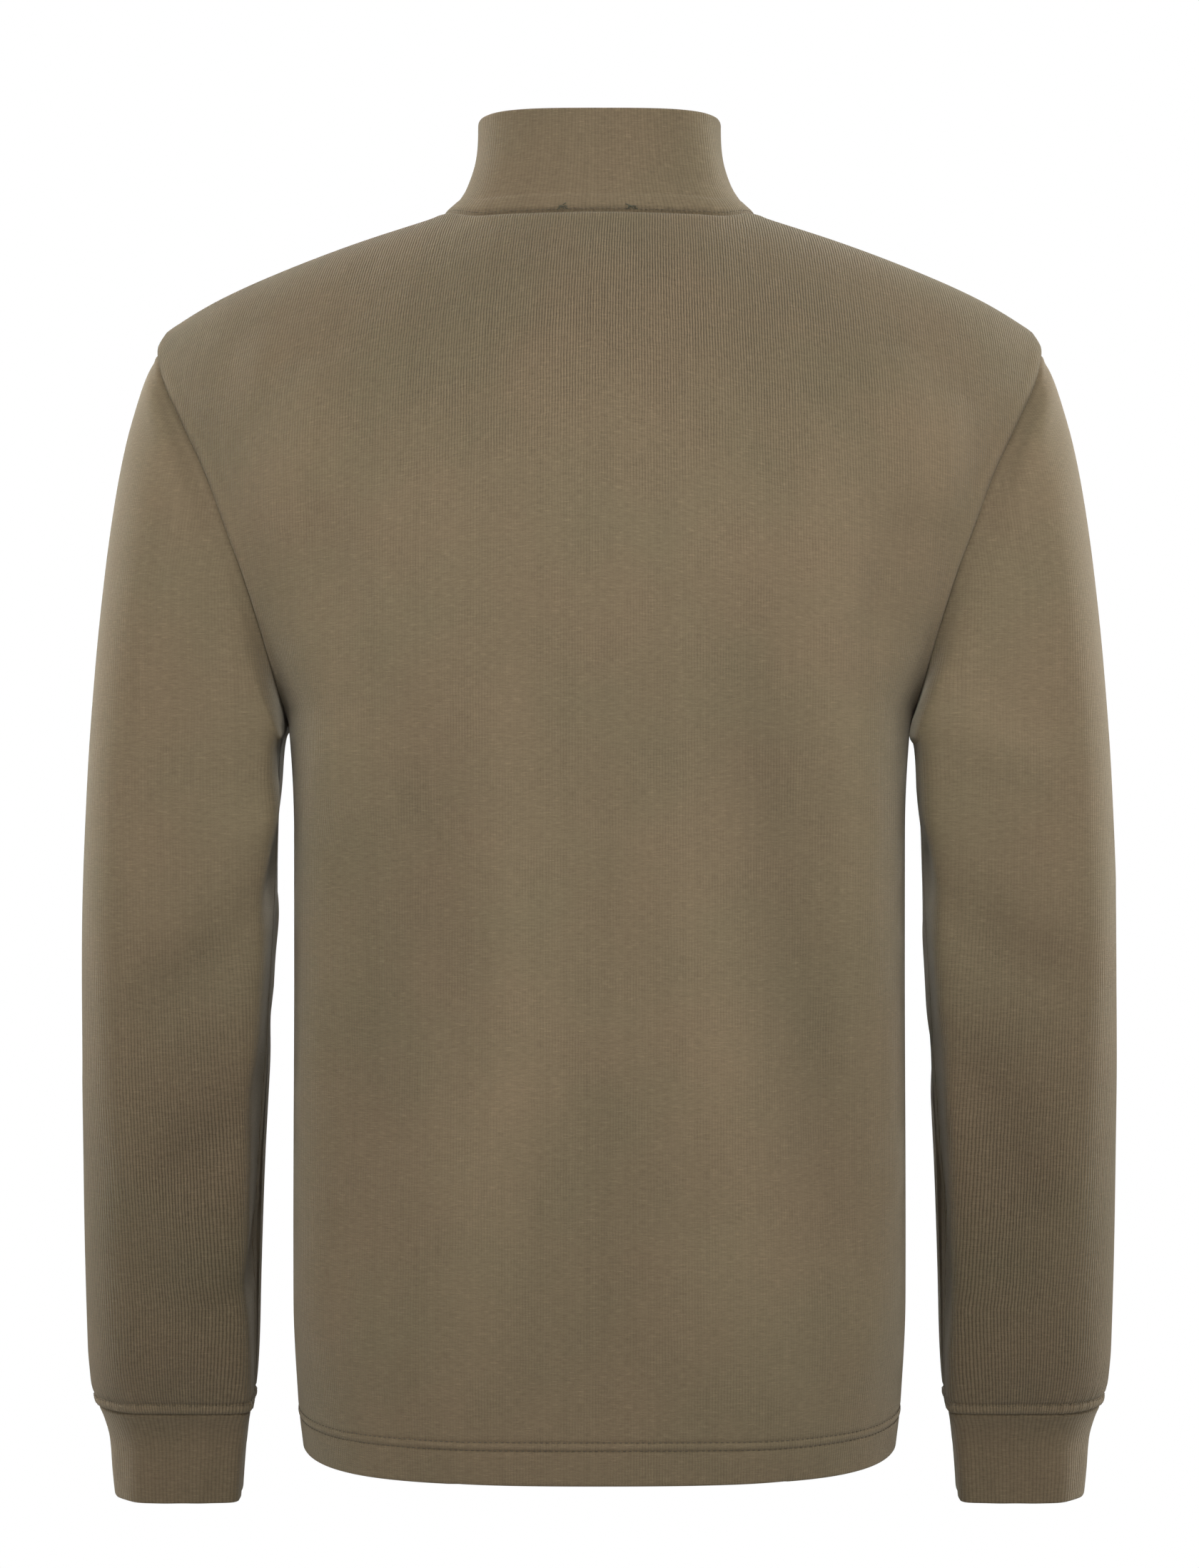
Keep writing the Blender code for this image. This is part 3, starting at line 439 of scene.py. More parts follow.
class Cloth:
    """A cut piece as a net of points on its outer face, rows by columns, with each
    point's place on the flat cloth: across the wales and up along them."""

    def __init__(self, points, across, along, middle=(0.0, 0.0, 0.0)):
        self.points = points
        self.facing = 1.0
        out = (self.outward() * (points - np.asarray(middle)))[..., :2].sum(-1)
        self.facing = float(np.sign(out.mean()))
        shape = points.shape[:2]
        self.across = np.broadcast_to(across, shape).copy()
        self.along = np.broadcast_to(along, shape).copy()
        self.thick = np.full(shape, CLOTH)
        self.sink = np.zeros(shape)  # how far a rounded edge draws in
        self.painted_light = np.zeros(shape)  # painted light and shade: 1 on a high ridge, -1 in a deep trough
        self.unsewn = self.outward()
        self.flat = (float(np.ptp(self.across)), float(np.ptp(self.along)))
        diagonals = (points[1:, 1:] - points[:-1, :-1], points[1:, :-1] - points[:-1, 1:])
        self.area = float(np.linalg.norm(np.cross(*diagonals), axis=-1).sum() / 2)

    def outward(self):
        """Unit normals, away from the garment's hollow."""
        normal = np.cross(np.gradient(self.points, axis=1), np.gradient(self.points, axis=0))
        return normal * self.facing / np.linalg.norm(normal, axis=-1, keepdims=True)

    def push(self, height):
        """Moves the outer face out by height, or in."""
        self.points = self.points + self.outward() * height[..., None]

    def crease(self, path, width, height):
        """The height of a soft ridge or trough along a path on the flat cloth, in mm."""
        place = joined(self.across, self.along)
        path = np.reshape(path, (-1, 2)) / 1000
        run = run_of(path)
        nearest = np.full(place.shape[:2], np.inf)
        share = np.zeros(place.shape[:2])
        for k, (a, b) in enumerate(zip(path[:-1], path[1:])):
            t = np.clip(((place - a) @ (b - a)) / ((b - a) @ (b - a)), 0, 1)
            gap = np.linalg.norm(place - a - t[..., None] * (b - a), axis=-1)
            share = np.where(gap < nearest, (run[k] + t * (run[k + 1] - run[k])) / run[-1], share)
            nearest = np.minimum(gap, nearest)
        return height / 1000 * bell(nearest, width / 1000) * np.sin(math.pi * share) ** 0.7

    def creases(self, listed, seam_distance):
        """Pushes every listed crease, dying away towards the seams, with painted light on its ridges
        and painted shade in its troughs.
        """
        height = sum(self.crease(*one) for one in listed) * eased(seam_distance / SEAM_FADE)
        self.painted_light += height / PAINTED_LIGHT_HEIGHT
        self.points = self.points + self.unsewn * height[..., None]

    def sew(self, seam, ditch=SEAM_DITCH, ridge=SEAM_RIDGE):
        """Draws the cloth in at a seam and lifts it over the seam's allowance, with painted shade in
        the ditch and painted light on the ridge. Gives the distance to the seam."""
        distance, shared = seam.reach(self.points)
        near = bell(distance, SHARED_WIDTH)[..., None]
        direction = shared * near + self.outward() * (1 - near)
        height = ridge * bell(distance - RIDGE_PLACE, RIDGE_WIDTH)
        height -= ditch * bell(distance, DITCH_WIDTH)
        self.points = self.points + direction * height[..., None]
        self.painted_light += height * SEAM_PAINTED_LIGHT
        return distance

    def stitch_line(self, distance, depth=0.0005):
        """Draws the cloth in along a line of stitches, with painted shade along it."""
        line = bell(distance, NEEDLE_WIDTH)
        self.painted_light -= NEEDLE_SHADE * line
        self.push(-depth * line)

    def fold_edge(self, distance, thick):
        """Rounds a free edge, where the cloth is folded over."""
        half = thick / 2
        inside = np.clip(1 - distance / half, 0, 1)
        self.sink = np.maximum(self.sink, half * (1 - np.sqrt(1 - inside**2)) * 0.86)

    def trace(self, rows, columns):
        """Points and outward directions at fractional rows and columns."""
        found = []
        for grid in (self.points - self.outward() * self.sink[..., None], self.outward()):
            i = np.clip(np.floor(rows).astype(int), 0, grid.shape[0] - 2)
            j = np.clip(np.floor(columns).astype(int), 0, grid.shape[1] - 2)
            s, t = (rows - i)[:, None], (columns - j)[:, None]
            low = grid[i, j] * (1 - t) + grid[i, j + 1] * t
            high = grid[i + 1, j] * (1 - t) + grid[i + 1, j + 1] * t
            found.append(low * (1 - s) + high * s)
        return found

    def build(self, name, material, present=None):
        """The closed wall of cloth as a piece of the garment, with its knit laid out."""
        outward = self.outward()
        outer = self.points - outward * self.sink[..., None]
        inner = self.points - outward * (self.thick - self.sink)[..., None]
        inside = self.across.size
        index = np.arange(inside).reshape(self.across.shape)
        cells = np.stack([index[:-1, :-1], index[:-1, 1:], index[1:, 1:], index[1:, :-1]], -1)
        cells = cells.reshape(-1, 4) if present is None else cells[present]
        edges = np.concatenate([cells[:, [k, (k + 1) % 4]] for k in range(4)])
        ends = np.sort(edges, axis=1)
        _, where, count = np.unique(ends, axis=0, return_index=True, return_counts=True)
        rim = edges[where[count == 1]]
        walls = np.stack([rim[:, 0], rim[:, 0] + inside, rim[:, 1] + inside, rim[:, 1]], -1)
        faces = np.concatenate([cells, cells[:, ::-1] + inside, walls])
        faces = faces if self.facing > 0 else faces[:, ::-1]
        mesh = bpy.data.meshes.new(name)
        mesh.from_pydata(np.concatenate([outer.reshape(-1, 3), inner.reshape(-1, 3)]), [], faces)
        knit = mesh.uv_layers.new(name="knit")
        place = joined(self.across.ravel(), self.along.ravel())
        knit.data.foreach_set("uv", place[faces.ravel() % inside].ravel().astype(np.float32))
        # The painted light and shade goes to the material as a point attribute.
        painted_light = mesh.attributes.new("painted_light", "FLOAT", "POINT")
        painted_light.data.foreach_set("value", np.tile(self.painted_light.ravel(), 2).astype(np.float32))
        return garment_piece(name, mesh, material, sharp=50)


def row_places(centre, corner, total):
    """Lengths from the centre line at which a panel's row has its points: those close to
    the centre, then on to the neck's corner and to the seam at the side."""
    sewn = total - np.array(SEAM_CELLS[::-1])
    to_corner = np.linspace(centre[-1], corner, NECK_CELLS + 2 - len(centre))[1:]
    to_side = np.linspace(corner, sewn[0], SIDE_CELLS + 1)[1:]
    return np.concatenate([centre, to_corner, to_side, sewn[1:]])


def level_section(z, front):
    """x and y of the body's outline at a height, from the centre to the side."""
    angle = np.linspace(0, math.pi / 2, FINE)
    square = read(TORSO, z, 4)
    reach = read(TORSO, z, 3 if front else 2)
    return joined(
        read(TORSO, z, 1) * squared(np.sin(angle), square), reach * squared(np.cos(angle), square)
    )


def panel_rows(front, heights, centre):
    """Level rows of half a panel, from the hem up: points, across and along."""
    rows, across, along = [], [], []
    foot = TORSO[0, 0]
    centre_z = np.linspace(foot, ARMPIT_Z, FINE)
    centre_run = run_of(joined(depth_at(0.0, centre_z, front), centre_z))
    at_side = np.sin(np.linspace(0, math.pi / 2, FINE)) ** 8
    for height in heights:
        level = foot + height
        lift = HEM_SIDE_LIFT * (ARMPIT_Z - level) / (ARMPIT_Z - foot)
        line = np.column_stack([level_section(level, front), level + lift * at_side])
        total = run_of(line)[-1]
        places = row_places(centre, total * NECK_SHARE, total)
        rows.append(at_lengths(line, places))
        across.append(places)
        along.append(np.full(len(places), np.interp(level, centre_z, centre_run)))
    return np.array(rows), np.array(across), np.array(along)


def panel_crown(front, ups, centre):
    """Rows of half a panel above the armpit, up to the neck and the shoulder seam."""
    end = 2.0 if front else 0.0
    corner = round(CROWN_COLUMNS * NECK_SHARE)
    base = level_section(ARMPIT_Z, front)
    base_x = at_lengths(base, np.linspace(0, run_of(base)[-1], CROWN_COLUMNS + 1))[:, 0]
    side_turn = end + (SHOULDER_SEAM_TURN - end) * ups
    right = joined(armhole_x(side_turn), side_turn)
    neck = joined(*neck_place(np.linspace(end / 2, SEAM_AROUND, corner + 1)))
    shoulder_x = np.linspace(
        neck[-1, 0], float(armhole_x(SHOULDER_SEAM_TURN)), CROWN_COLUMNS - corner + 1
    )
    top = np.concatenate([neck, joined(shoulder_x, SHOULDER_SEAM_TURN)[1:]])
    bottom = joined(base_x, end)
    left = joined(0.0, end + (top[0, 1] - end) * ups)
    s = np.linspace(0, 1, CROWN_COLUMNS + 1)[None, :, None]
    t = ups[:, None, None]
    place = (1 - t) * bottom[None] + t * top[None] + (1 - s) * left[:, None] + s * right[:, None]
    place -= (1 - s) * ((1 - t) * bottom[0] + t * top[0])
    place -= s * ((1 - t) * bottom[-1] + t * top[-1])
    # How far each (x, turn) lies from the centre line across the wales, and up them.
    table_x = np.linspace(0, 0.27, 181)
    table_turn = np.linspace(0, 1, 121)
    table_turn = 2 - table_turn[::-1] if front else table_turn
    table = upper_point(table_x[None], table_turn[:, None])
    across_table = np.array([run_of(line) for line in table])
    up_run = run_of(table[:, np.argmin(np.abs(table_x - 0.11))])
    up_run = up_run[-1] - up_run if front else up_run
    rows, across, along = [], [], []
    for row in place:
        line = upper_point(row[:, 0], row[:, 1])
        run = run_of(line)
        places = row_places(centre, run[corner], run[-1])
        rows.append(at_lengths(line, places))
        x, turn = at_lengths(np.concatenate([line, row], 1), places)[:, 3:].T
        i = np.interp(turn, table_turn, np.arange(121))
        low = np.clip(i.astype(int), 0, 119)
        below, above = (
            np.array([np.interp(one, table_x, across_table[k]) for one, k in zip(x, low + step)])
            for step in (0, 1)
        )
        across.append(below + (above - below) * (i - low))
        along.append(np.interp(turn, table_turn, up_run))
    return np.array(rows), np.array(across), np.array(along)


def both_halves(left, sign=1.0):
    """A half grid, centre line first, with its mirror image before it. sign is -1 for
    what changes side."""
    return np.concatenate([left[:, :0:-1] * sign, left], 1)


def panel_net(front, centre, close_ups=()):
    """A panel's points and their places on the flat cloth, from the hem up."""
    heights = spaced(ARMPIT_Z - TORSO[0, 0], close_to=HEM_STITCHES, start=SEAM_CELLS[:6])
    ups = spaced(CROWN_RISE, close_to=close_ups, end=SEAM_CELLS)[1:] / CROWN_RISE
    low = panel_rows(front, heights, centre)
    high = panel_crown(front, ups, centre)
    points = both_halves(np.concatenate([low[0], high[0]]), MIRROR)
    across = both_halves(np.concatenate([low[1], high[1]]), -1.0)
    along = both_halves(np.concatenate([low[2], high[2] + low[2][-1, 0]]))
    return points, across, along


class Wire:
    """A socket in a material. Arithmetic on it adds Math nodes."""

    def __init__(self, tree, socket=None):
        self.tree, self.socket = tree, socket

    def node(self, kind, settings, inputs, output=0):
        """Any node: its settings first, then the values or links of its sockets."""
        made = self.tree.nodes.new(kind)
        for key, value in settings.items():
            setattr(made, key, value)
        for key, value in inputs.items():
            if isinstance(value, Wire):
                self.tree.links.new(value.socket, made.inputs[key])
            else:
                made.inputs[key].default_value = value
        return Wire(self.tree, made.outputs[output])

    def math(self, operation, *values):
        """A Math node on these values, or on this wire alone."""
        values = values or (self,)
        return self.node("ShaderNodeMath", {"operation": operation}, dict(enumerate(values)))

    __add__ = lambda self, other: self.math("ADD", self, other)
    __radd__ = lambda self, other: self.math("ADD", other, self)
    __sub__ = lambda self, other: self.math("SUBTRACT", self, other)
    __rsub__ = lambda self, other: self.math("SUBTRACT", other, self)
    __mul__ = lambda self, other: self.math("MULTIPLY", self, other)
    __rmul__ = lambda self, other: self.math("MULTIPLY", other, self)
    __truediv__ = lambda self, other: self.math("DIVIDE", self, other)
    __rtruediv__ = lambda self, other: self.math("DIVIDE", other, self)

    def axis(self, k):
        """One coordinate of this position."""
        return self.node("ShaderNodeSeparateXYZ", {}, {0: self}, k)

    def zigzag(self):
        """From 1 down to 0 and back again, with every whole number."""
        return (self.math("FRACT") - 0.5).math("ABSOLUTE") * 2.0

    def wave(self):
        """Between 0 and 1 and back, with every whole number."""
        return (self * (2 * math.pi)).math("SINE") * 0.5 + 0.5

    def ramp(self, low, high):
        """0 up to low and 1 from high, smooth between."""
        settings = {"interpolation_type": "SMOOTHSTEP"}
        return self.node("ShaderNodeMapRange", settings, {0: self, 1: low, 2: high})

    def times(self, colour):
        """A colour made lighter or darker by this value."""
        settings = {"operation": "SCALE"}
        return self.node("ShaderNodeVectorMath", settings, {0: colour, "Scale": self})

    def blend(self, colour_a, colour_b):
        """A colour that goes from a to b as this value goes from 0 to 1."""
        settings = {"data_type": "RGBA"}
        return self.node("ShaderNodeMix", settings, {0: self, 6: colour_a, 7: colour_b}, 2)

    def noise(self, scale, detail=2.0, stretch=(1.0, 1.0, 1.0)):
        """Noise from this position. stretch packs it more closely along an axis."""
        settings = {"operation": "MULTIPLY"}
        stretched = self.node("ShaderNodeVectorMath", settings, {0: self, 1: stretch})
        inputs = {"Vector": stretched, "Scale": scale, "Detail": detail}
        return self.node("ShaderNodeTexNoise", {}, inputs)

    def feed(self, shader, socket):
        """Links this to a socket of the shader."""
        self.tree.links.new(self.socket, shader.inputs[socket])

    def raise_surface(self, shader, relief, strength=1.0):
        """Lets this height raise the shader's surface by up to the relief."""
        inputs = {"Strength": strength, "Distance": relief, "Height": self}
        self.node("ShaderNodeBump", {}, inputs).feed(shader, "Normal")


def rib_knit(name, pitch, groove_shade, relief, tight_and_shaded=(0.0, -1.0), slack=(9.0, 10.0)):
    """Ribbed cotton jersey: wales at a pitch, with painted shade in the grooves between them
    and painted light on their crowns, small slanting stitches, level streaks of uneven yarn,
    a slow drift between a browner and a greener yarn, and the painted light and shade that
    each piece carries, lighter on its ridges and darker in its troughs. tight_and_shaded is
    how far up the wales stop and start to stand out clearly, where the cloth is also painted
    darker as shade, and slack is where they start to fade and are nearly gone."""
    material, shader = new_material(
        name,
        {"Roughness": 0.92, "Sheen Weight": 0.35, "Sheen Roughness": 0.45,
         "Sheen Tint": (0.80, 0.74, 0.60, 1.0), "Specular IOR Level": 0.18},
    )
    start = Wire(material.node_tree)
    flat = start.node("ShaderNodeUVMap", {"uv_map": "knit"}, {})
    across, up = flat.axis(0), flat.axis(1)
    # Each piece's painted light and shade, which lightens or darkens its colour.
    painted_light = start.node("ShaderNodeAttribute", {"attribute_name": "painted_light"}, {}, 2)
    wander = flat.noise(45.0, 1.0, (1.0, 0.5, 1.0))
    wander = wander + flat.noise(330.0, 2.0, (1.0, 0.55, 1.0)) * 0.7
    wale = across / pitch + wander * 0.7
    side = wale.zigzag()
    crown = 1.0 - side.ramp(0.30, 1.0)
    stitch = (up / 0.0011 + side * 0.8).wave()
    whole = {"W": wale.math("FLOOR")}
    yarn = start.node("ShaderNodeTexWhiteNoise", {"noise_dimensions": "1D"}, whole)
    fibre = flat.noise(1500.0, 3.0)
    streak = flat.noise(1.0, 3.0, (230.0, 1500.0, 1.0))
    bar = flat.noise(1.0, 3.0, (75.0, 420.0, 1.0))
    slub = flat.noise(1.0, 1.0, (150.0, 1250.0, 1.0)).ramp(0.58, 0.76)
    cloud = flat.noise(9.0, 3.0).ramp(0.32, 0.68)
    patch = flat.noise(26.0, 4.0).ramp(0.25, 0.75)
    # Where the cloth is tight its wales stand out, and it is painted darker as shade.
    tightness_and_shade = up.ramp(*tight_and_shaded)
    near_middle = 1.0 - across.math("ABSOLUTE").ramp(0.09, 0.21) * 0.6
    clear = flat.noise(34.0, 3.0).ramp(0.36, 0.66) * 0.45 + 0.14 + tightness_and_shade * near_middle * 1.7
    clear = clear * (1.0 - up.ramp(*slack) * 0.75)
    # The colour: painted shade in the grooves and painted light on the crowns, painted shade where
    # tight, and the pieces' painted light and shade, with the yarn's own streaks, flecks and drift.
    shade = (
        1.0
        + (crown - 0.65) * clear * groove_shade
        - tightness_and_shade * 0.09
        + painted_light * 0.10
        + (yarn - 0.5) * 0.04
        + (fibre - 0.5) * 0.42
        + (streak - 0.5) * 0.62
        + (bar - 0.5) * 0.20
        + slub * 0.20
        + (patch - 0.5) * 0.03
        + (stitch - 0.5) * 0.04
    )
    shade.times(cloud.blend(OLIVE_BROWN, OLIVE_GREEN)).feed(shader, "Base Color")
    height = crown * clear + stitch * crown * 0.25 + fibre * 0.3 + streak * 0.6
    height.raise_surface(shader, relief)
    return material


# The upper back is painted darker as shade, from 0.50 m up the cloth.
body_knit = rib_knit("rib_knit", RIB_PITCH, 0.30, 0.00026, (0.50, 0.68))


def upper_outward(x, turn):
    """The body's outward direction at a place above the armpit."""
    step = 1e-4
    here = upper_point(x, turn)
    across = here - upper_point(x - step, turn)
    up = upper_point(x, turn + step) - here
    normal = np.cross(up, across)
    return normal / np.linalg.norm(normal, axis=-1, keepdims=True)


armhole_turns = np.linspace(0, 2, 4 * FINE)
armhole_xs = armhole_x(armhole_turns)
armhole_seam = Seam(
    upper_point(armhole_xs, armhole_turns),
    upper_outward(armhole_xs, np.clip(armhole_turns, 0, 1.999)),
)
neck_xs, neck_turns = neck_place(np.linspace(0, 1, 2 * FINE))
neck_seam = Seam(upper_point(neck_xs, neck_turns), upper_outward(neck_xs + 1e-4, neck_turns))
shoulder_xs = np.linspace(NECK_HALF_WIDTH, float(armhole_x(SHOULDER_SEAM_TURN)), FINE)
shoulder_seam = Seam(
    upper_point(shoulder_xs, SHOULDER_SEAM_TURN), upper_outward(shoulder_xs, SHOULDER_SEAM_TURN)
)
side_z = np.linspace(TORSO[0, 0], ARMPIT_Z, FINE)
side_lift = HEM_SIDE_LIFT * (ARMPIT_Z - side_z) / (ARMPIT_Z - TORSO[0, 0])
side_seam = Seam(joined(read(TORSO, side_z, 1), 0.0, side_z + side_lift), (1.0, 0.0, 0.0))


def hem_panel(cloth):
    """Sews a panel all round and turns up its hem. Gives the distance to its seams."""
    gaps = [
        cloth.sew(side_seam, ditch=0.0011, ridge=0.0003),
        cloth.sew(armhole_seam, ridge=0.0007),
        cloth.sew(neck_seam, ditch=0.0014),
        cloth.sew(shoulder_seam, ditch=0.0008, ridge=0.0003),
    ]
    # Painted light along the body's sides.
    cloth.painted_light += SIDE_LIGHT * bell(gaps[0], SIDE_LIGHT_WIDTH)
    turned = np.clip((HEM_DEPTH - cloth.along) / 0.001, 0, 1)
    cloth.thick += (DOUBLE_CLOTH - CLOTH) * turned
    cloth.push(HEM_RISE * bell(cloth.along - sum(HEM_STITCHES) / 2, HEM_RISE_WIDTH, 4))
    for needle_line in HEM_STITCHES:
        cloth.stitch_line(cloth.along - needle_line)
    cloth.fold_edge(cloth.along, DOUBLE_CLOTH)
    return np.min(gaps, axis=0)


def tube_faces(first, rings, sides):
    """The faces of a closed tube, whose rings of points start at first."""
    last = first + (rings - 1) * sides
    faces = [tuple(range(first, first + sides)), tuple(reversed(range(last, last + sides)))]
    for a in range(first, last, sides):
        for q in range(sides):
            beyond = (q + 1) % sides
            faces.append((a + q, a + sides + q, a + sides + beyond, a + beyond))
    return faces


def stitches(name, cloth, lines, material, length=0.0021, gap=0.0010, thread=0.00052):
    """Rows of stitches along lines of net places, each thread diving in at both ends."""
    steps, sides = np.linspace(0, 1, 5), 6
    points, faces = [], []
    turn = np.arange(sides) * 2 * math.pi / sides
    rise = np.sin(steps * math.pi)
    radius = (thread / 2 * (0.7 + 0.3 * rise))[:, None, None]
    for rows, columns in lines:
        rows, columns = np.broadcast_arrays(*(np.asarray(one, float) for one in (rows, columns)))
        line = np.concatenate(cloth.trace(rows, columns), 1)
        starts = np.arange(0, run_of(line)[-1] - length, length + gap)
        row = at_lengths(line, (starts[:, None] + steps * length).ravel())
        row = row.reshape(len(starts), len(steps), 6)
        centre, out = row[..., :3], row[..., 3:]
        out = out / np.linalg.norm(out, axis=-1, keepdims=True)
        centre = centre + out * (thread * (rise * 0.9 - 0.45))[:, None]
        beside = np.cross(np.gradient(centre, axis=1), out)
        beside /= np.linalg.norm(beside, axis=-1, keepdims=True)
        ring = np.cos(turn)[:, None] * beside[..., None, :]
        ring = ring + np.sin(turn)[:, None] * out[..., None, :]
        first = sum(len(group) for group in points)
        points.append((centre[..., None, :] + radius * ring).reshape(-1, 3))
        for k in range(len(starts)):
            faces += tube_faces(first + k * len(steps) * sides, len(steps), sides)
    mesh = bpy.data.meshes.new(name)
    mesh.from_pydata(np.concatenate(points), [], faces)
    return garment_piece(name, mesh, material)


def row_at(cloth, height):
    """The net row, with its fraction, at a height up the cloth."""
    return float(np.interp(height, cloth.along[:, 0], np.arange(len(cloth.along))))


def hem_stitches(name, cloth):
    """The hem's two rows of stitches, right across a panel."""
    columns = np.linspace(0.0, cloth.points.shape[1] - 1, 1200)
    return stitches(name, cloth, [(row_at(cloth, z), columns) for z in HEM_STITCHES], hem_thread)


def thread_finish(name, colour):
    """Sewing thread, with the twist of its two plies."""
    material, shader = new_material(name, {"Roughness": 0.75})
    place = Wire(material.node_tree).node("ShaderNodeTexCoord", {}, {}, "Object")
    (place.noise(900.0, 1.0) * 0.5 + 0.75).times(colour).feed(shader, "Base Color")
    return material


def cut_cloth(node):
    """Hides the model's part that a piece of cloth stands for."""
    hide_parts(node)


back = Cloth(*panel_net(False, (0.0,)))
# The yoke's wales lean a little to one side, where the cloth was pulled askew.
lean = np.clip((back.along - LEAN_FOOT) / LEAN_RISE, 0, 1) ** 2
back.across += LEAN * lean * (0.4 + 0.7 * np.tanh(back.across / 0.05))
back.creases(BACK_CREASES, hem_panel(back))
hem_thread = thread_finish("hem_thread", (0.085, 0.066, 0.042))
back_piece = back.build("back_cloth", body_knit)
back_hem = hem_stitches("back_hem_stitches", back)
cut_cloth("back")


# ---- The front: one piece of the same rib, with a slit down its middle for the zip. The
# slit's edges are turned in and topstitched to the zip's tapes, square across its foot.
ZIP_GAP = 0.0048
ZIP_FOOT_Z = -0.226
ZIP_TOPSTITCH = 0.0060  # from the slit's edge
SLIT_RISE, SLIT_RISE_WIDTH = 0.0004, 0.0050
SLIT_CELLS = (0.0, 0.0004, 0.0010, 0.0020, 0.0036, 0.0052, 0.0060, 0.0068, 0.0086)
FRONT_CREASES = (
    ((158, 510, 136, 440, 116, 350, 106, 200), 20, -4.6),
    ((-150, 520, -130, 440, -118, 330, -120, 180), 20, -4.9),
    ((18, 470, 34, 380, 40, 260), 19, -2.7),
    ((-14, 440, -30, 330, -48, 190, -52, 60), 19, 3),
    ((76, 330, 70, 190, 78, 30), 19, 3.4),
    ((4, 240, 2, 120, 6, 30), 22, -2.7),
    ((-88, 260, -84, 130, -90, 20), 18, -2.3),
    ((176, 560, 160, 510, 140, 460, 100, 430), 14, 3),
    ((-180, 580, -164, 530, -140, 480, -96, 455), 14, 3),
    ((150, 300, 146, 180, 152, 70), 17, 2.3),
)

slit_places = ZIP_GAP + np.array(SLIT_CELLS)
neck_front_turn = float(neck_place(1.0)[1])
centre_turns = np.linspace(neck_front_turn, 2.0, FINE)
centre_z = upper_point(0.0, centre_turns)[:, 2]
foot_turn = float(np.interp(ZIP_FOOT_Z, centre_z[::-1], centre_turns[::-1]))
foot_up = CROWN_RISE * (2.0 - foot_turn) / (2.0 - neck_front_turn)
front = Cloth(*panel_net(True, (0.0, *slit_places), (foot_up, foot_up - ZIP_TOPSTITCH)))
front_middle = front.points.shape[1] // 2
front_foot = int(np.argmin(np.abs(front.points[:, front_middle, 2] - ZIP_FOOT_Z)))
foot_along = front.along[front_foot, front_middle]
front_gap = hem_panel(front)
beside_slit = np.maximum(np.abs(front.across) - ZIP_GAP, 0.0)
slit_gap = np.maximum(beside_slit, np.maximum(foot_along - front.along, 0.0))
front.creases(FRONT_CREASES, np.minimum(front_gap, slit_gap * 1.4))
front.push(SLIT_RISE * bell(slit_gap, SLIT_RISE_WIDTH, 4))
front.stitch_line(slit_gap - ZIP_TOPSTITCH)
front.fold_edge(slit_gap + 10.0 * (front.along < front.along[front_foot, 0]), CLOTH)
uncut = np.ones((front.points.shape[0] - 1, front.points.shape[1] - 1), bool)
uncut[front_foot:, front_middle - 1 : front_middle + 1] = False
front_piece = front.build("front_cloth", body_knit, uncut)
front_hem = hem_stitches("front_hem_stitches", front)
stitch_column = 1 + SLIT_CELLS.index(ZIP_TOPSTITCH)
stitch_row = row_at(front, front.along[front_foot, 0] - ZIP_TOPSTITCH)
stitch_edges = (front_middle - stitch_column, front_middle + stitch_column)
down_row = np.linspace(len(front.points) - 1, stitch_row, 400)
zip_lines = [
    (down_row, stitch_edges[0]),
    (stitch_row, np.linspace(*stitch_edges, 60)),
    (down_row, stitch_edges[1]),
]
zip_stitches = stitches("front_zip_stitches", front, zip_lines, hem_thread)
cut_cloth("front")


# ---- The sleeves: one piece of the same rib each, set into the armhole all round, closed
# by a seam under the arm, and gathered into the cuff with its allowance stitched upward.
SIDES = (("left", 1.0), ("right", -1.0))
SLEEVE = np.array((
    # outer_x, outer_z, inner_x, inner_z, half_depth and middle_y in mm, and squareness
    (264.8, -93, 182.4, -290.5, 81, -3, 2.3),
    (273, -123, 184.3, -294, 81.5, -3, 2.5),
    (280, -160, 185.7, -301, 80, -3, 2.6),
    (285.8, -204, 186.5, -314, 77, -2, 2.7),
    (290.9, -256, 187.1, -335, 74, -1, 2.8),
    (295.3, -320, 188.2, -372, 71, 1, 2.8),
    (298.2, -398, 190.7, -425, 68, 2, 2.8),
    (299, -472, 193.7, -484, 65, -2, 2.8),
    (299.8, -538, 197.5, -544, 62, -11, 2.7),
    (300.5, -604, 200.5, -608, 59, -22, 2.6),
    (300.5, -650, 202.2, -653, 56, -30, 2.5),
    (299.5, -671, 203.5, -672.5, 52, -33.5, 2.4),
    (295.8, -686.5, 205.2, -687, 46.5, -35, 2.2),
)) / (1e3, 1e3, 1e3, 1e3, 1e3, 1e3, 1)
INNER_SQUARENESS = 7.0
SLEEVE_COLUMNS = 160
INNER_LINE = 0.196  # from the outer line round to the inner one
INNER_RIM_LIGHT_ROUND = (0.142, 0.162)  # where its inner rim is painted lighter, round from the outer line
INNER_RIM_LIGHT_UP = (0.220, 0.300)  # and up from the wrist
WRIST_STITCHES = 0.0060
WELT_HEIGHT = 0.0066  # the allowance stitched up above the wrist seam
WELT_OUT = 0.0011
WELT_DITCH = 0.0005
GATHER = 0.0056  # from one small gather at the wrist to the next
GATHER_Z = -0.625  # below this the sleeve is drawn in towards the wrist
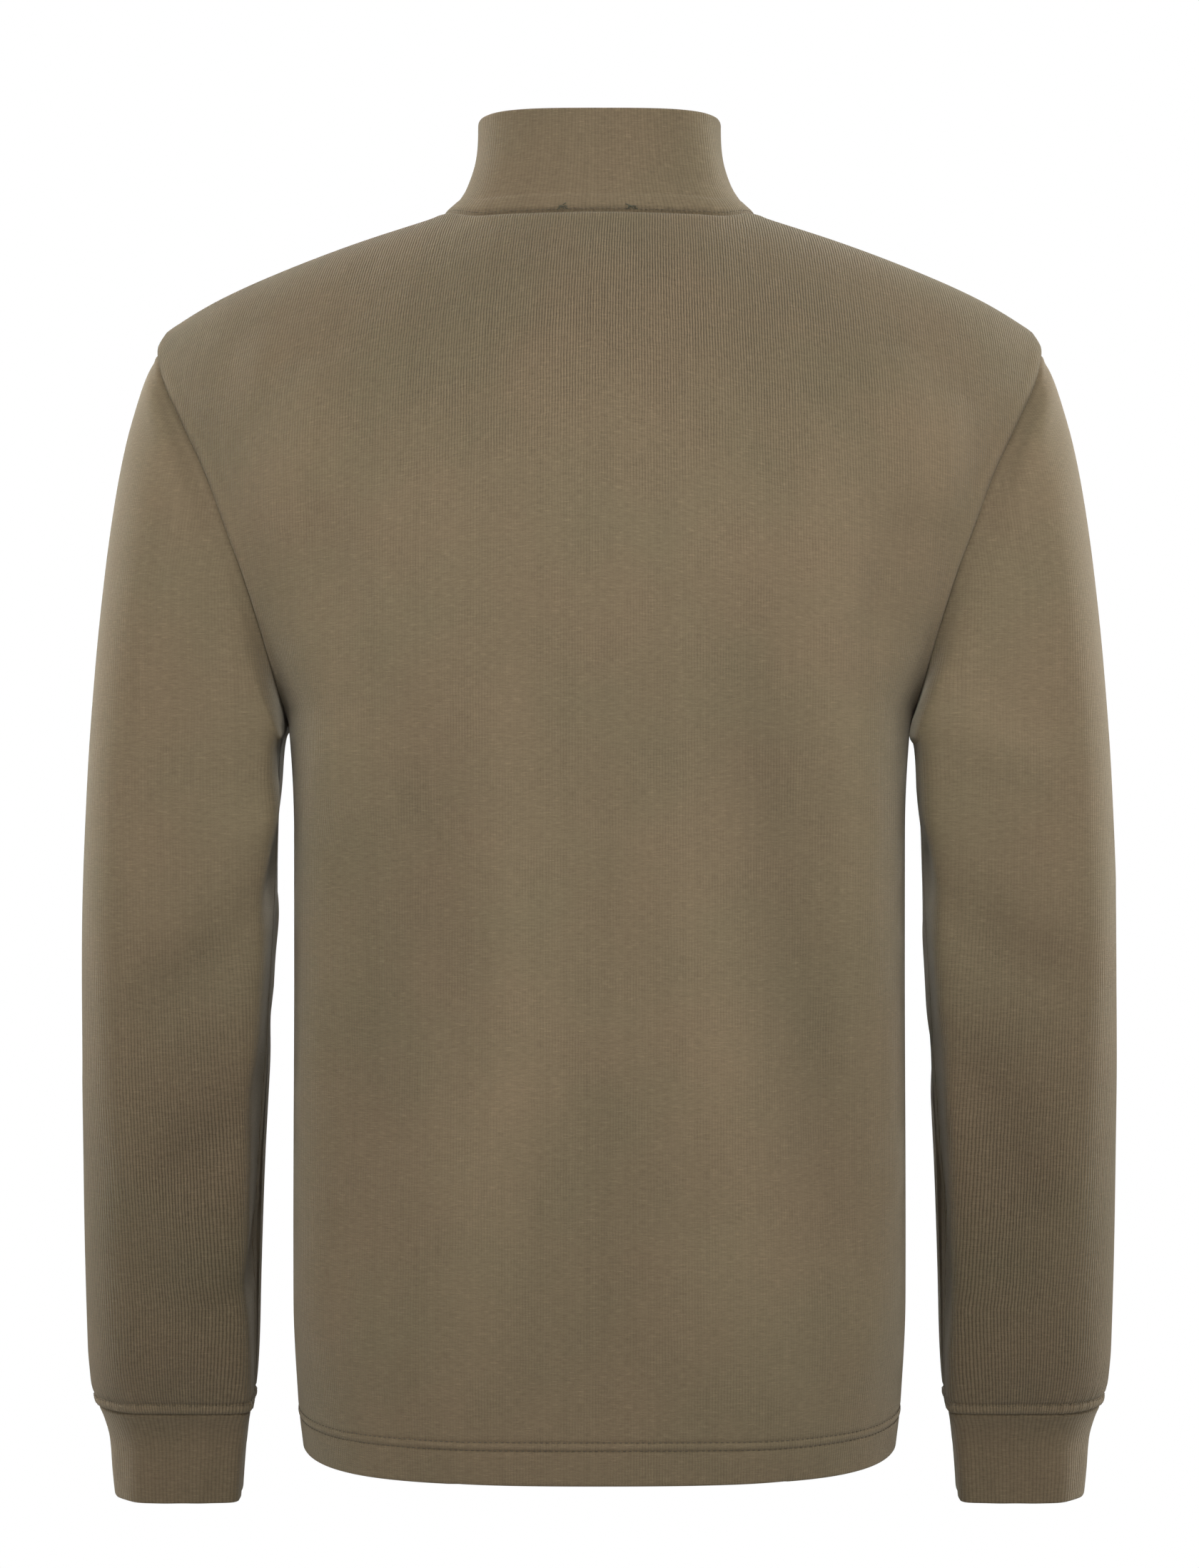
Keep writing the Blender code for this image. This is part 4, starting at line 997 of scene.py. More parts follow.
# The paths' points are (round from the outer line, positive behind; up from the wrist).
SLEEVE_CREASES = {
    "left": (
        ((196, 340, 150, 300, 105, 255, 70, 225), 17, -4.5),
        ((176, 370, 150, 345, 128, 330), 12, 3),
        ((160, 210, 120, 165, 80, 130), 16, -3),
        ((60, 200, 80, 140, 110, 70), 15, 2.1),
        ((180, 120, 140, 80, 100, 55), 13, -2.7),
        ((200, 560, 165, 480, 140, 400), 15, -2.7),
        ((120, 570, 105, 500, 100, 420), 16, 2.1),
        ((-190, 360, -140, 300, -90, 262), 16, -4.2),
        ((-170, 300, -120, 250, -80, 220), 14, 3),
        ((-170, 240, -120, 205, -70, 190), 14, -3.3),
        ((-100, 140, -80, 80, -90, 30), 14, 2.1),
        ((-190, 560, -160, 470, -140, 410), 15, -2.7),
        ((-20, 290, -10, 240, 4, 190), 18, -1.8),
        ((130, 280, 134, 160, 120, 10), 46, -4.2),
    ),
    "right": (
        ((190, 345, 155, 310, 105, 270, 60, 245), 18, -4.5),
        ((150, 410, 120, 390, 85, 370), 16, 3),
        ((186, 450, 178, 390, 166, 330), 24, 4.2),
        ((100, 570, 110, 450, 120, 330), 40, 3),
        ((150, 230, 110, 180, 90, 110), 16, -2.7),
        ((70, 190, 70, 120, 85, 50), 15, 2.1),
        ((180, 150, 150, 90, 140, 40), 13, -2.4),
        ((195, 550, 168, 470, 150, 420), 14, -2.4),
        ((-186, 350, -150, 300, -100, 250), 17, -3.9),
        ((-160, 290, -120, 235, -70, 215), 14, 2.7),
        ((-180, 220, -130, 190, -80, 150), 14, -3.3),
        ((-120, 110, -100, 60, -100, 30), 13, 2.1),
        ((-195, 560, -170, 480, -150, 420), 15, -2.4),
        ((10, 310, 4, 250, -10, 200), 18, -1.8),
        ((130, 290, 138, 170, 124, 10), 44, -4),
    ),
}


def tube_section(section, shares):
    """Points at these shares of a section's length. 0 is outside, 0.25 behind."""
    outer_x, outer_z, inner_x, inner_z, half_depth, middle_y, square = section
    angle = np.linspace(0, 2 * math.pi, FINE)
    # Behind, the side that lies beside the body is pressed squarer and closer to it.
    inward = (1 - np.cos(angle)) / 2
    behind = (1 + np.tanh(4 * np.sin(angle))) / 2
    square = square + INNER_SQUARENESS * inward**2 * behind
    deep = squared(np.sin(angle), square)
    across = squared(np.cos(angle), square) - inward**2 * np.clip(deep, 0, 1) * 0.08
    line = joined(
        (outer_x + inner_x) / 2 + (outer_x - inner_x) / 2 * across,
        middle_y + half_depth * deep,
        (outer_z + inner_z) / 2 + (outer_z - inner_z) / 2 * across,
    )
    return at_lengths(line, shares % 1.0 * run_of(line)[-1])


def armhole_loop(shares):
    """Points of the left armhole: 0 is the shoulder seam, 0.5 the armpit, back first."""
    shares = shares % 1.0
    halves = []
    for start, end, part in (
        (SHOULDER_SEAM_TURN, 0, shares / 0.5),
        (2, SHOULDER_SEAM_TURN, shares / 0.5 - 1),
    ):
        turns = np.linspace(start, end, FINE)
        line = upper_point(armhole_x(turns), turns)
        halves.append(at_lengths(line, np.clip(part, 0, 1) * run_of(line)[-1]))
    return np.where((shares <= 0.5)[:, None], *halves)


def tube_net(rings, start, close_to=()):
    """Rows of points from the foot up, through rings of points that are given downwards."""
    rings = np.array(rings[::-1])
    steps = np.linalg.norm(np.diff(rings, axis=0), axis=-1).mean(1)
    knots = np.concatenate([[0], np.cumsum(steps)])
    return smooth(spaced(knots[-1], close_to, start, SEAM_CELLS), knots, rings)


seam_share = np.array(SEAM_CELLS[1:]) / 0.45
shares = np.concatenate(
    [
        [-0.499999],
        -0.5 + seam_share,
        np.linspace(-0.5 + seam_share[-1], 0.5 - seam_share[-1], SLEEVE_COLUMNS + 1)[1:-1],
        0.5 - seam_share[::-1],
        [0.499999],
    ]
)
sleeve_rings = [armhole_loop(shares)] + [tube_section(section, shares) for section in SLEEVE]
sleeve_points = tube_net(sleeve_rings, SEAM_CELLS, (WRIST_STITCHES,))


def round_from_outside(points):
    """How far round a level ring of the sleeve each point lies from its outer line."""
    z = points[..., 2]
    table = SLEEVE[::-1]
    outer_x = np.interp(z, table[:, 1], table[:, 0])
    inner_x = np.interp(z, table[:, 3], table[:, 2])
    middle_z = (table[:, 1] + table[:, 3]) / 2
    half_y, middle_y = (np.interp(z, middle_z, table[:, column]) for column in (4, 5))
    half_x, middle_x = (outer_x - inner_x) / 2, (outer_x + inner_x) / 2
    angle = np.arctan2((points[..., 1] - middle_y) / half_y, (points[..., 0] - middle_x) / half_x)
    turned = angle[..., None] * (np.arange(24) + 0.5) / 24
    pace = np.hypot(np.sin(turned) * half_x[..., None], np.cos(turned) * half_y[..., None])
    return angle * pace.mean(-1)


wrist_ring = tube_section(SLEEVE[-1], np.linspace(0, 0.999999, FINE))
wrist_out = (wrist_ring - wrist_ring.mean(0)) * (1.0, 1.0, 0.0)
wrist_out /= np.linalg.norm(wrist_out, axis=-1, keepdims=True)
wrist_seam = Seam(wrist_ring, wrist_out)
under_seam = Seam(sleeve_points[:, 0], (-1.0, 0.0, 0.0))
wrist_thread = thread_finish("wrist_thread", (0.120, 0.093, 0.058))
# The forearm is painted darker as shade, from 0.34 m up the sleeve down to 0.12 m.
sleeve_knit = rib_knit("sleeve_rib_knit", 0.0017, 0.20, 0.00020, (0.34, 0.12), (0.50, 0.58))
sleeve_along = sleeve_points[..., 2] - sleeve_points[0, :, 2].mean()
# Below the forearm's last full round the wales keep to the net, into the gathers.
sleeve_round = round_from_outside(sleeve_points)
gathered = int(np.argmin(np.abs(sleeve_points[:, 0, 2] - GATHER_Z)))
sleeve_round[:gathered] = sleeve_round[gathered]
around = shares * 0.27
gathers = np.sin(around / GATHER * 2 * math.pi + 1.5 * np.sin(around * 37.0))
for side, sign in SIDES:
    points = sleeve_points * (sign, 1.0, 1.0)
    sleeve = Cloth(points, sleeve_round, sleeve_along, points.mean(1, keepdims=True))
    armhole_gap = sleeve.sew(armhole_seam, ridge=-0.0005)
    sleeve.sew(under_seam, ditch=0.0007, ridge=0.0001)
    wrist_gap = sleeve.sew(wrist_seam, ditch=0.0010, ridge=0.0)
    inner_gap = np.clip(INNER_LINE - np.abs(sleeve.across), 0.0, 1.0) * 0.7
    sleeve.creases(
        SLEEVE_CREASES[side], np.minimum(np.minimum(armhole_gap, inner_gap), wrist_gap * 1.6)
    )
    # Behind, the upper sleeve's inner edge is painted lighter, as painted light.
    inner_rim_light = np.interp(sleeve.across, INNER_RIM_LIGHT_ROUND, (0, 1))
    sleeve.painted_light += 2.0 * inner_rim_light * np.interp(sleeve.along, INNER_RIM_LIGHT_UP, (0, 1))
    # The allowance at the wrist makes a low welt, drawn in by its stitches and gathers.
    uneven = 0.5 + 0.5 * np.sin(around * 61.0 + sign)
    welt_top = WELT_HEIGHT + 0.0005 * gathers * uneven
    welt = np.clip(1 - (wrist_gap / welt_top) ** 4, 0, 1) * (1 - bell(wrist_gap, 0.001))
    sleeve.push((WELT_OUT + 0.0003 * gathers * uneven) * welt)
    above = bell(wrist_gap - welt_top - 0.0005, 0.0009)
    sleeve.push(-WELT_DITCH * above)
    # A painted highlight on the welt and painted shade in the ditch above it.
    sleeve.painted_light += 1.7 * welt - 1.9 * above * (0.5 + 0.5 * uneven)
    puckers = bell(wrist_gap - 0.010, 0.007) * gathers * uneven
    sleeve.push(0.00035 * puckers * (wrist_gap > 0.004))
    sleeve_piece = sleeve.build(f"sleeve_{side}_cloth", sleeve_knit)
    row = float(np.interp(WRIST_STITCHES, wrist_gap[:40, len(shares) // 2], np.arange(40)))
    wrist_line = (row, np.linspace(0, len(shares) - 1, 900))
    wrist_stitches = stitches(
        f"wrist_{side}_stitches", sleeve, [wrist_line], wrist_thread, thread=0.00040
    )
    cut_cloth(f"sleeve_{side}")


# ---- The cuffs: a doubled tube of the rib, folded at its lower edge and sewn to the
# wrist. They are closer fitting than the sleeves, so their wales stand apart.
CUFF = np.array((
    # as in SLEEVE
    (292.5, -694.5, 207.6, -695, 42.5, -36, 2.2),
    (289.2, -708, 209.4, -708, 39.5, -37.5, 2.2),
    (288.2, -725, 211, -725, 38.5, -39, 2.2),
    (286.8, -741.5, 212.2, -741.5, 37.8, -40.5, 2.2),
)) / (1e3, 1e3, 1e3, 1e3, 1e3, 1e3, 1)
CUFF_PITCH = 0.0022
CUFF_CREASES = {
    "left": (
        ((70, 40, 78, 24, 74, 6), 10, 0.8),
        ((30, 46, 36, 26, 30, 8), 10, -0.8),
        ((-60, 42, -52, 26, -58, 8), 10, -0.8),
    ),
    "right": (
        ((90, 44, 82, 26, 88, 6), 10, -0.8),
        ((44, 40, 50, 24, 46, 8), 10, 0.8),
        ((-40, 44, -46, 26, -40, 8), 10, -0.7),
    ),
}
# The cuff is painted darker all over as shade.
cuff_knit = rib_knit("cuff_rib_knit", CUFF_PITCH, 0.08, 0.00010, (-1.0, 0.0))
cuff_rings = [tube_section(section, shares) for section in (SLEEVE[-1], *CUFF)]
cuff_points = tube_net(cuff_rings, SEAM_CELLS[:6])
cuff_up = cuff_points[..., 2].mean(1)[:, None]
cuff_round = run_of(np.concatenate([cuff_points[8], cuff_points[8, :1]]))[-1]
for side, sign in SIDES:
    points = cuff_points * (sign, 1.0, 1.0)
    middle = points.mean(1, keepdims=True)
    cuff = Cloth(points, shares[None] * cuff_round, cuff_up - cuff_up[0], middle)
    wrist_gap = cuff.sew(wrist_seam, ditch=0.0010, ridge=0.0)
    cuff.creases(CUFF_CREASES[side], wrist_gap)
    cuff.thick[:] = DOUBLE_CLOTH
    cuff.push(0.00016 * np.cos(2 * math.pi * cuff.across / CUFF_PITCH / 9) * (cuff.along < 0.03))
    cuff.fold_edge(cuff.along, DOUBLE_CLOTH)
    cuff_piece = cuff.build(f"cuff_{side}_cloth", cuff_knit)
    cut_cloth(f"cuff_{side}")


# ---- The collar: a stand of doubled rib, sewn to the neck with its allowance stitched up
# into it as a low band. Two bar tacks at the back hold what is sewn inside the neck.
COLLAR_HALF_WIDTH = 0.0704
COLLAR_BACK_Y = 0.062
COLLAR_FRONT_Y = -0.074
COLLAR_SQUARENESS = 3.4
COLLAR_BACK_Z = 0.060
COLLAR_FRONT_Z = 0.034
COLLAR_HEIGHT = 0.062  # of its net, which stretches to the collar's own height
COLLAR_CELLS = 91  # round half the collar, up to its sewn front edge
COLLAR_PITCH = 0.00185
COLLAR_BAND = 0.0105  # how high the band stands above the neck seam
BAND_OUT = 0.0008
BAND_DITCH, BAND_DITCH_WIDTH = 0.0003, 0.0016
NECK_STITCHES = 0.0013
NECK_NEEDLE = 0.0017
BAR_TACKS = (0.0174, -0.0150)
BAR_TACK_THREADS = (
    # how far each thread leans, in net columns, and the heights it runs between
    (1.20, 0.0012, 0.0036),
    (-1.10, 0.0010, 0.0034),
    (0.40, 0.0010, 0.0040),
    (-0.70, 0.0018, 0.0044),
    (1.00, 0.0024, 0.0028),
)
# The paths' points are (across from the centre back, up from the neck seam).
COLLAR_CREASES = (
    ((120, 14, 70, 19, 20, 16), 7, -0.9),
    ((-16, 18, -60, 22, -110, 16), 8, -0.8),
    ((70, 56, 56, 36, 50, 20), 12, 0.8),
    ((-74, 60, -62, 40, -66, 20), 12, 0.9),
    ((150, 50, 140, 30, 146, 12), 12, -1),
    ((-146, 46, -150, 28, -140, 12), 12, -1),
    ((10, 56, 0, 36, 4, 20), 14, 0.6),
)


def collar_point(base, around, rise):
    """The collar's outer face, which stands up from the neck seam and draws in quickly.
    around is as in oval."""
    x, y = oval(COLLAR_HALF_WIDTH, COLLAR_BACK_Y, COLLAR_FRONT_Y, COLLAR_SQUARENESS, around)
    drop = (COLLAR_BACK_Z - COLLAR_FRONT_Z) * eased((around - 0.45) / 0.55)
    top = joined(x, y, COLLAR_BACK_Z - drop)
    share = np.array([1 - (1 - rise) ** 3] * 2 + [rise])
    return base + (top - base) * share


around = np.linspace(0, 1, 4 * FINE)
neck_base = upper_point(*neck_place(around))
heights = spaced(COLLAR_HEIGHT, (NECK_STITCHES, COLLAR_BAND), SEAM_CELLS[:4], SEAM_CELLS[:6])
collar_rows = []
for rise in heights / heights[-1]:
    ring = collar_point(neck_base, around, rise)
    # The front edge lies at the slit's edge, so each ring stops short of the centre.
    forward = run_of(ring)[-1] - slit_places[::-1]
    places = np.concatenate([np.linspace(0, forward[0], COLLAR_CELLS + 1), forward[1:]])
    collar_rows.append(np.column_stack([at_lengths(ring, places), places]))
collar_half = np.array(collar_rows)
collar_points = both_halves(collar_half[..., :3], MIRROR)
collar_length = collar_half[-1, :, 3]
collar_up = np.stack([run_of(column) for column in collar_points.transpose(1, 0, 2)], 1)
collar = Cloth(collar_points, both_halves(collar_length[None], -1.0), collar_up, (0.0, -0.010, 0.0))
neck_gap = collar.sew(neck_seam, ditch=0.0011, ridge=0.0)
top_gap = collar.along[-1] - collar.along
slit_gap = collar_length[-1] - np.abs(collar.across)
collar.creases(COLLAR_CREASES, np.minimum(top_gap * 1.5, slit_gap))
collar.thick += (DOUBLE_CLOTH - CLOTH) * eased((slit_gap - 0.0155) / 0.007)
band = np.clip(1 - (neck_gap / COLLAR_BAND) ** 6, 0, 1) * (1 - bell(neck_gap, 0.0008))
collar.push(BAND_OUT * band)
collar.push(-BAND_DITCH * bell(neck_gap - COLLAR_BAND, BAND_DITCH_WIDTH))
collar.stitch_line(neck_gap - NECK_NEEDLE, 0.0003)
collar.stitch_line(slit_gap - ZIP_TOPSTITCH)
collar.fold_edge(top_gap, collar.thick)
collar.fold_edge(slit_gap, CLOTH)
# The collar is painted darker all over as shade.
collar_knit = rib_knit("collar_rib_knit", COLLAR_PITCH, 0.05, 0.00010, (-1.0, 0.0))
collar_piece = collar.build("collar_cloth", collar_knit)
last_row, last_column = (count - 1 for count in collar.across.shape)
neck_row = float(np.interp(NECK_STITCHES, neck_gap[:12, last_column // 2], np.arange(12)))
neck_line = (neck_row, np.linspace(8, last_column - 8, 900))
neck_stitches = stitches("neck_stitches", collar, [neck_line], hem_thread, thread=0.00036)
edge_column = SLIT_CELLS.index(ZIP_TOPSTITCH)
collar_zip_lines = [
    (np.linspace(0, last_row, 200), column) for column in (edge_column, last_column - edge_column)
]
collar_zip_stitches = stitches("collar_zip_stitches", collar, collar_zip_lines, hem_thread)
tack_lines = []
for tack_x in BAR_TACKS:
    tack_column = np.interp(tack_x, collar.across[0], np.arange(last_column + 1))
    tack_gap = neck_gap[:20, round(tack_column)]
    for lean, low, high in BAR_TACK_THREADS:
        tack_rows = np.interp(np.linspace(low, high, 20), tack_gap, np.arange(20))
        tack_lines.append((tack_rows, tack_column + lean * np.linspace(-1, 1, 20)))
tack_thread = thread_finish("tack_thread", (0.062, 0.060, 0.036))
bar_tacks = stitches("neck_bar_tacks", collar, tack_lines, tack_thread, 0.0026, 0.0001, 0.00065)
cut_cloth("collar")


# ---- The zip: two woven tapes sewn behind the slit's edges, with small metal teeth
# clamped on them and a stop at the foot. The slider and its arched bridge are cast, and
# the pull swings on the bridge. All the metal is dulled.
ZIP_DEPTH = 0.0027  # the chain's middle lies this far inside the cloth's outer face
TAPE_EDGES = (0.0018, 0.0143)  # from the centre front to a tape's two edges
TAPE_CLOSED = 0.00005  # and to its inner edge, below the stop
TAPE_ON_CHAIN = (0.0036, 0.0062)  # above the foot, where the edges reach the chain
TAPE_NEAR = 0.0030
TAPE = 0.0009
TAPE_BEHIND = 0.0019  # from the cloth's outer face to the tape's
TAPE_END = 0.0020
TAPE_OLIVE = (0.132, 0.106, 0.068)
METAL_DARK = (0.250, 0.225, 0.185, 1.0)
METAL_BRIGHT = (0.420, 0.385, 0.325, 1.0)
TEETH_PITCH = 0.0020
TEETH = np.array((
    # x, half_width and half_thickness in mm: a left tooth, from its root to its tip
    (2.5, 0.62, 0.85),
    (2.42, 0.76, 1.08),
    (1.5, 0.76, 1.1),
    (0.95, 0.56, 1),
    (0.5, 0.38, 0.86),
    (0, 0.44, 0.86),
    (-0.5, 0.46, 0.82),
    (-0.9, 0.28, 0.56),
)) / 1000
SLIDER_LENGTH = 0.0110
SLIDER_DROP = 0.0010  # from the zip's top to the slider
CHAIN_TOP = 0.0084  # from the zip's top to the first closed tooth
CHAIN_CLEAR = 0.0008  # from the last tooth to the stop
STOP_LENGTH = 0.0031
STOP_END = 0.0026  # from the stop to the foot of the zip's line
STOP_HALF = 0.00122  # half the width and thickness of one half of the clamp
STOP_THICK = 0.0011
STOP_EASE = np.array((0.86, 0.97, 1.0, 1.0, 1.0, 0.97, 0.86))
# The castings' sizes are in mm. Outwards, they are measured from the chain's middle.
PLATE_IN = 1.4
PLATE_OUT = 2.6
BRIDGE_FOOT = 2.2
BRIDGE_LOW = 6.0
BRIDGE_TOP = 7.0
RAIL_OUT = 1.15
PIN_OUT = 4.6
ROUNDING = 5  # steps at a rounded corner


def zip_path():
    """The zip's line down the outer face: the collar first, then the front."""
    neck = upper_point(0.0, np.array([neck_front_turn]))
    upright = [collar_point(neck, np.array([1.0]), rise) for rise in np.linspace(0.96, 0, 60)]
    lower = upper_point(0.0, np.linspace(neck_front_turn, 2.0, 200))
    line = np.concatenate([*upright, lower[lower[:, 2] > ZIP_FOOT_Z + 0.004][1:]])
    for _ in range(60):
        line[1:-1] = line[1:-1] * 0.5 + (line[:-2] + line[2:]) * 0.25
    return at_lengths(line, np.linspace(0, run_of(line)[-1], 90))


zip_line = zip_path()
zip_ahead = np.gradient(zip_line, axis=0)
zip_inward = joined(0.0, -zip_ahead[:, 2], zip_ahead[:, 1])
zip_inward /= np.linalg.norm(zip_inward, axis=-1, keepdims=True) * np.sign(zip_inward[:, 1:2])
zip_track = np.concatenate([zip_line, zip_inward], 1)


def on_track(lengths):
    """The chain's middle and its inward direction at these lengths down the zip."""
    track = at_lengths(zip_track, lengths)
    inward = track[:, 3:] / np.linalg.norm(track[:, 3:], axis=-1, keepdims=True)
    return track[:, :3] + inward * ZIP_DEPTH, inward


# The tapes: behind the cloth on each side, and in to the teeth.
tape_weave, tape_shader = new_material(
    "zip_tape_weave", {"Roughness": 0.85, "Sheen Weight": 0.15, "Specular IOR Level": 0.25}
)
woven = Wire(tape_weave.node_tree).node("ShaderNodeUVMap", {"uv_map": "knit"}, {})
chevron = (woven.axis(0) / 0.0011).zigzag()
twill = (woven.axis(1) / 0.0006 + chevron * 1.6).wave()
tape_fibre = woven.noise(1800.0, 2.0)
tape_shade = 0.62 + twill * 0.30 + (tape_fibre - 0.5) * 0.3
tape_shade.times(TAPE_OLIVE).feed(tape_shader, "Base Color")
(twill + tape_fibre * 0.3).raise_surface(tape_shader, 0.00012, 0.8)


def cloth_lines(cloth, columns):
    """A cloth's columns, set back to where the tape's outer face lies."""
    return (cloth.points - cloth.outward() * TAPE_BEHIND)[:, columns]


slit_columns = np.arange(len(SLIT_CELLS))
lower_rows = cloth_lines(front, front_middle + 1 + slit_columns)[front_foot - 4 :]
upper_rows = cloth_lines(collar, last_column - slit_columns)[2:]
tape_rows = np.concatenate([lower_rows[:-1], upper_rows]).transpose(1, 0, 2)
tape_rows = np.stack(
    [at_lengths(line, np.linspace(0, run_of(line)[-1] - TAPE_END, 96)) for line in tape_rows], 1
)
for _ in range(3):
    tape_rows[1:-1] = tape_rows[1:-1] * 0.5 + (tape_rows[:-2] + tape_rows[2:]) * 0.25
beyond = tape_rows[:, -1:] + (tape_rows[:, -1:] - tape_rows[:, -2:-1]) * 0.5
beyond[..., 0] = TAPE_EDGES[1]
tape_z = tape_rows[:, 0, 2]
by_teeth = joined(*(np.interp(tape_z, zip_track[::-1, 2], column) for column in zip_track[::-1].T))
on_chain = np.interp(tape_z - zip_line[-1, 2], TAPE_ON_CHAIN, (0, 1))[:, None]
edge_rows = by_teeth[:, :3] + by_teeth[:, 3:] * (ZIP_DEPTH - TAPE / 2)
edge_rows = tape_rows[:, 0] * (1 - on_chain) + edge_rows * on_chain
# Below the chain the two tapes close up behind the stop.
edge_rows[:, 0] = TAPE_CLOSED + (TAPE_EDGES[0] - TAPE_CLOSED) * on_chain[:, 0]
near_rows = np.stack([edge_rows, edge_rows * (0, 1, 1) + (TAPE_NEAR, 0, 0)], 1)
tape_net = np.concatenate([near_rows, tape_rows[:, 1:], beyond], 1)
tape_up = run_of(tape_net[:, 3])[:, None]
for side, sign in SIDES:
    tape = Cloth(tape_net * (sign, 1.0, 1.0), tape_net[..., 0], tape_up, (0.0, 0.2, 0.0))
    tape.thick[:] = TAPE
    tape_piece = tape.build(f"zip_tape_{side}_weave", tape_weave)
    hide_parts(f"zip_tape_{side}")

# The metal: dulled zinc alloy, darker and rubbed brighter in patches.
zip_metal, metal_shader = new_material("zip_metal", {"Metallic": 1.0})
metal_place = Wire(zip_metal.node_tree).node("ShaderNodeTexCoord", {}, {}, "Object")
metal_rubbed = metal_place.noise(420.0, 3.0).ramp(0.35, 0.70)
metal_rubbed.blend(METAL_DARK, METAL_BRIGHT).feed(metal_shader, "Base Color")
grain = metal_place.noise(5200.0, 2.0, (1.0, 1.0, 0.2))
(0.30 + grain * 0.22).feed(metal_shader, "Roughness")
grain.raise_surface(metal_shader, 0.00004, 0.25)


def metal_piece(name, parts, node, body="garment"):
    """One metal piece from its parts, each a mesh already in its place."""
    work = bmesh.new()
    for part in parts:
        work.from_mesh(part)
    mesh = bpy.data.meshes.new(name)
    work.to_mesh(mesh)
    work.free()
    piece = garment_piece(name, mesh, zip_metal, body, 45)
    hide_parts(node)


def rounded_bar(centres, beside, out, half_widths, half_thicks, sides=10, square=3.2):
    """A closed bar with rounded edges through these centres, as a mesh."""
    turn = (np.arange(sides) + 0.5) * 2 * math.pi / sides
    flat = squared(np.cos(turn), square) * half_widths[:, None]
    deep = squared(np.sin(turn), square) * half_thicks[:, None]
    points = centres[:, None] + beside * flat[..., None] + out * deep[..., None]
    mesh = bpy.data.meshes.new("bar")
    mesh.from_pydata(points.reshape(-1, 3), [], tube_faces(0, len(centres), sides))
    work = bmesh.new()
    work.from_mesh(mesh)
    bmesh.ops.recalc_face_normals(work, faces=work.faces)
    work.to_mesh(mesh)
    work.free()
    return mesh


# The teeth: each side's every 2 mm, the two sides in turn.
stop_foot = run_of(zip_line)[-1] - STOP_END
stop_top = stop_foot - STOP_LENGTH
teeth = []
for k, place in enumerate(np.arange(CHAIN_TOP, stop_top - CHAIN_CLEAR, TEETH_PITCH / 2)):
    middles, inward = on_track(place + np.array((-0.0002, 0.0, 0.0002)))
    ahead = middles[2] - middles[0]
    ahead /= np.linalg.norm(ahead)
    sign = 1.0 if k % 2 else -1.0
    centres = middles[1] + TEETH[:, :1] * (sign, 0.0, 0.0)
    teeth.append(rounded_bar(centres, ahead, inward[1], TEETH[:, 1], TEETH[:, 2], 8))
metal_piece("zip_chain_teeth", teeth, "zip_teeth")

# The stop: a clamp squeezed over both tapes, with a groove between its halves.
stop_middle, stop_in = on_track(np.linspace(stop_top, stop_foot, len(STOP_EASE)))
leftward = np.array((1.0, 0.0, 0.0))
stop_sizes = (STOP_HALF * STOP_EASE, STOP_THICK * STOP_EASE)
stop_halves = [
    rounded_bar(stop_middle + leftward * x, leftward, stop_in[:, None], *stop_sizes)
    for x in (-STOP_HALF, STOP_HALF)
]
metal_piece("zip_stop_clamp", stop_halves, "zip_stop")


def both_sides(right, middle=0.0):
    """The corners down an outline's right side, with those of its left side."""
    left = [(middle - x, y) for x, y in right[::-1]]
    return [left[-1], *((middle + x, y) for x, y in right), *left[:-1]]


def rounded(corners, radii):
    """A closed outline with its corners rounded."""
    corners = np.array(corners) / 1000
    radii = np.broadcast_to(radii, len(corners)) / 1000
    outline = []
    for k, corner in enumerate(corners):
        before, after = corners[k - 1] - corner, corners[(k + 1) % len(corners)] - corner
        radius = min(radii[k], np.linalg.norm(before) / 2.02, np.linalg.norm(after) / 2.02)
        first = corner + before / np.linalg.norm(before) * radius
        last = corner + after / np.linalg.norm(after) * radius
        for t in np.linspace(0, 1, ROUNDING + 1):
            outline.append(first * (1 - t) ** 2 + corner * 2 * t * (1 - t) + last * t * t)
    return outline


def cast_plate(outlines, thick, edge, place):
    """A flat casting with rounded edges from its outline and the outlines of its holes."""
    curve = bpy.data.curves.new("plate", "CURVE")
    curve.dimensions = "2D"
    curve.fill_mode = "BOTH"
    for outline in outlines:
        spline = curve.splines.new("POLY")
        spline.points.add(len(outline) - 1)
        for point, (x, y) in zip(spline.points, outline):
            point.co = (x, y, 0.0, 1.0)
        spline.use_cyclic_u = True
    curve.extrude = (thick / 2 - edge) / 1000
    curve.bevel_depth = edge / 1000
    curve.bevel_resolution = 3
    curve.offset = -edge / 1000
    maker = placed("plate", curve)
    bpy.context.view_layer.update()
    mesh = bpy.data.meshes.new_from_object(maker.evaluated_get(bpy.context.evaluated_depsgraph_get()))
    bpy.data.objects.remove(maker)
    mesh.transform(place)
    return mesh


# The slider: two plates with waisted sides, rails bent towards each other along the lower
# part, a post between them at the top, and the bridge.
slider_middle, slider_in = (one[0] for one in on_track([SLIDER_LENGTH / 2 + SLIDER_DROP]))
slider_out = -slider_in
slider_down = np.cross(leftward, slider_out)
slider_down *= -np.sign(slider_down[2])
slider_axes = (np.cross(slider_down, slider_out), slider_down, slider_out, slider_middle)
slider_frame = Matrix(np.vstack([np.transpose(slider_axes), (0, 0, 0, 1)]).tolist())


def raised(out):
    """The slider's frame, moved outwards."""
    return slider_frame @ Matrix.Translation((0, 0, out / 1000))


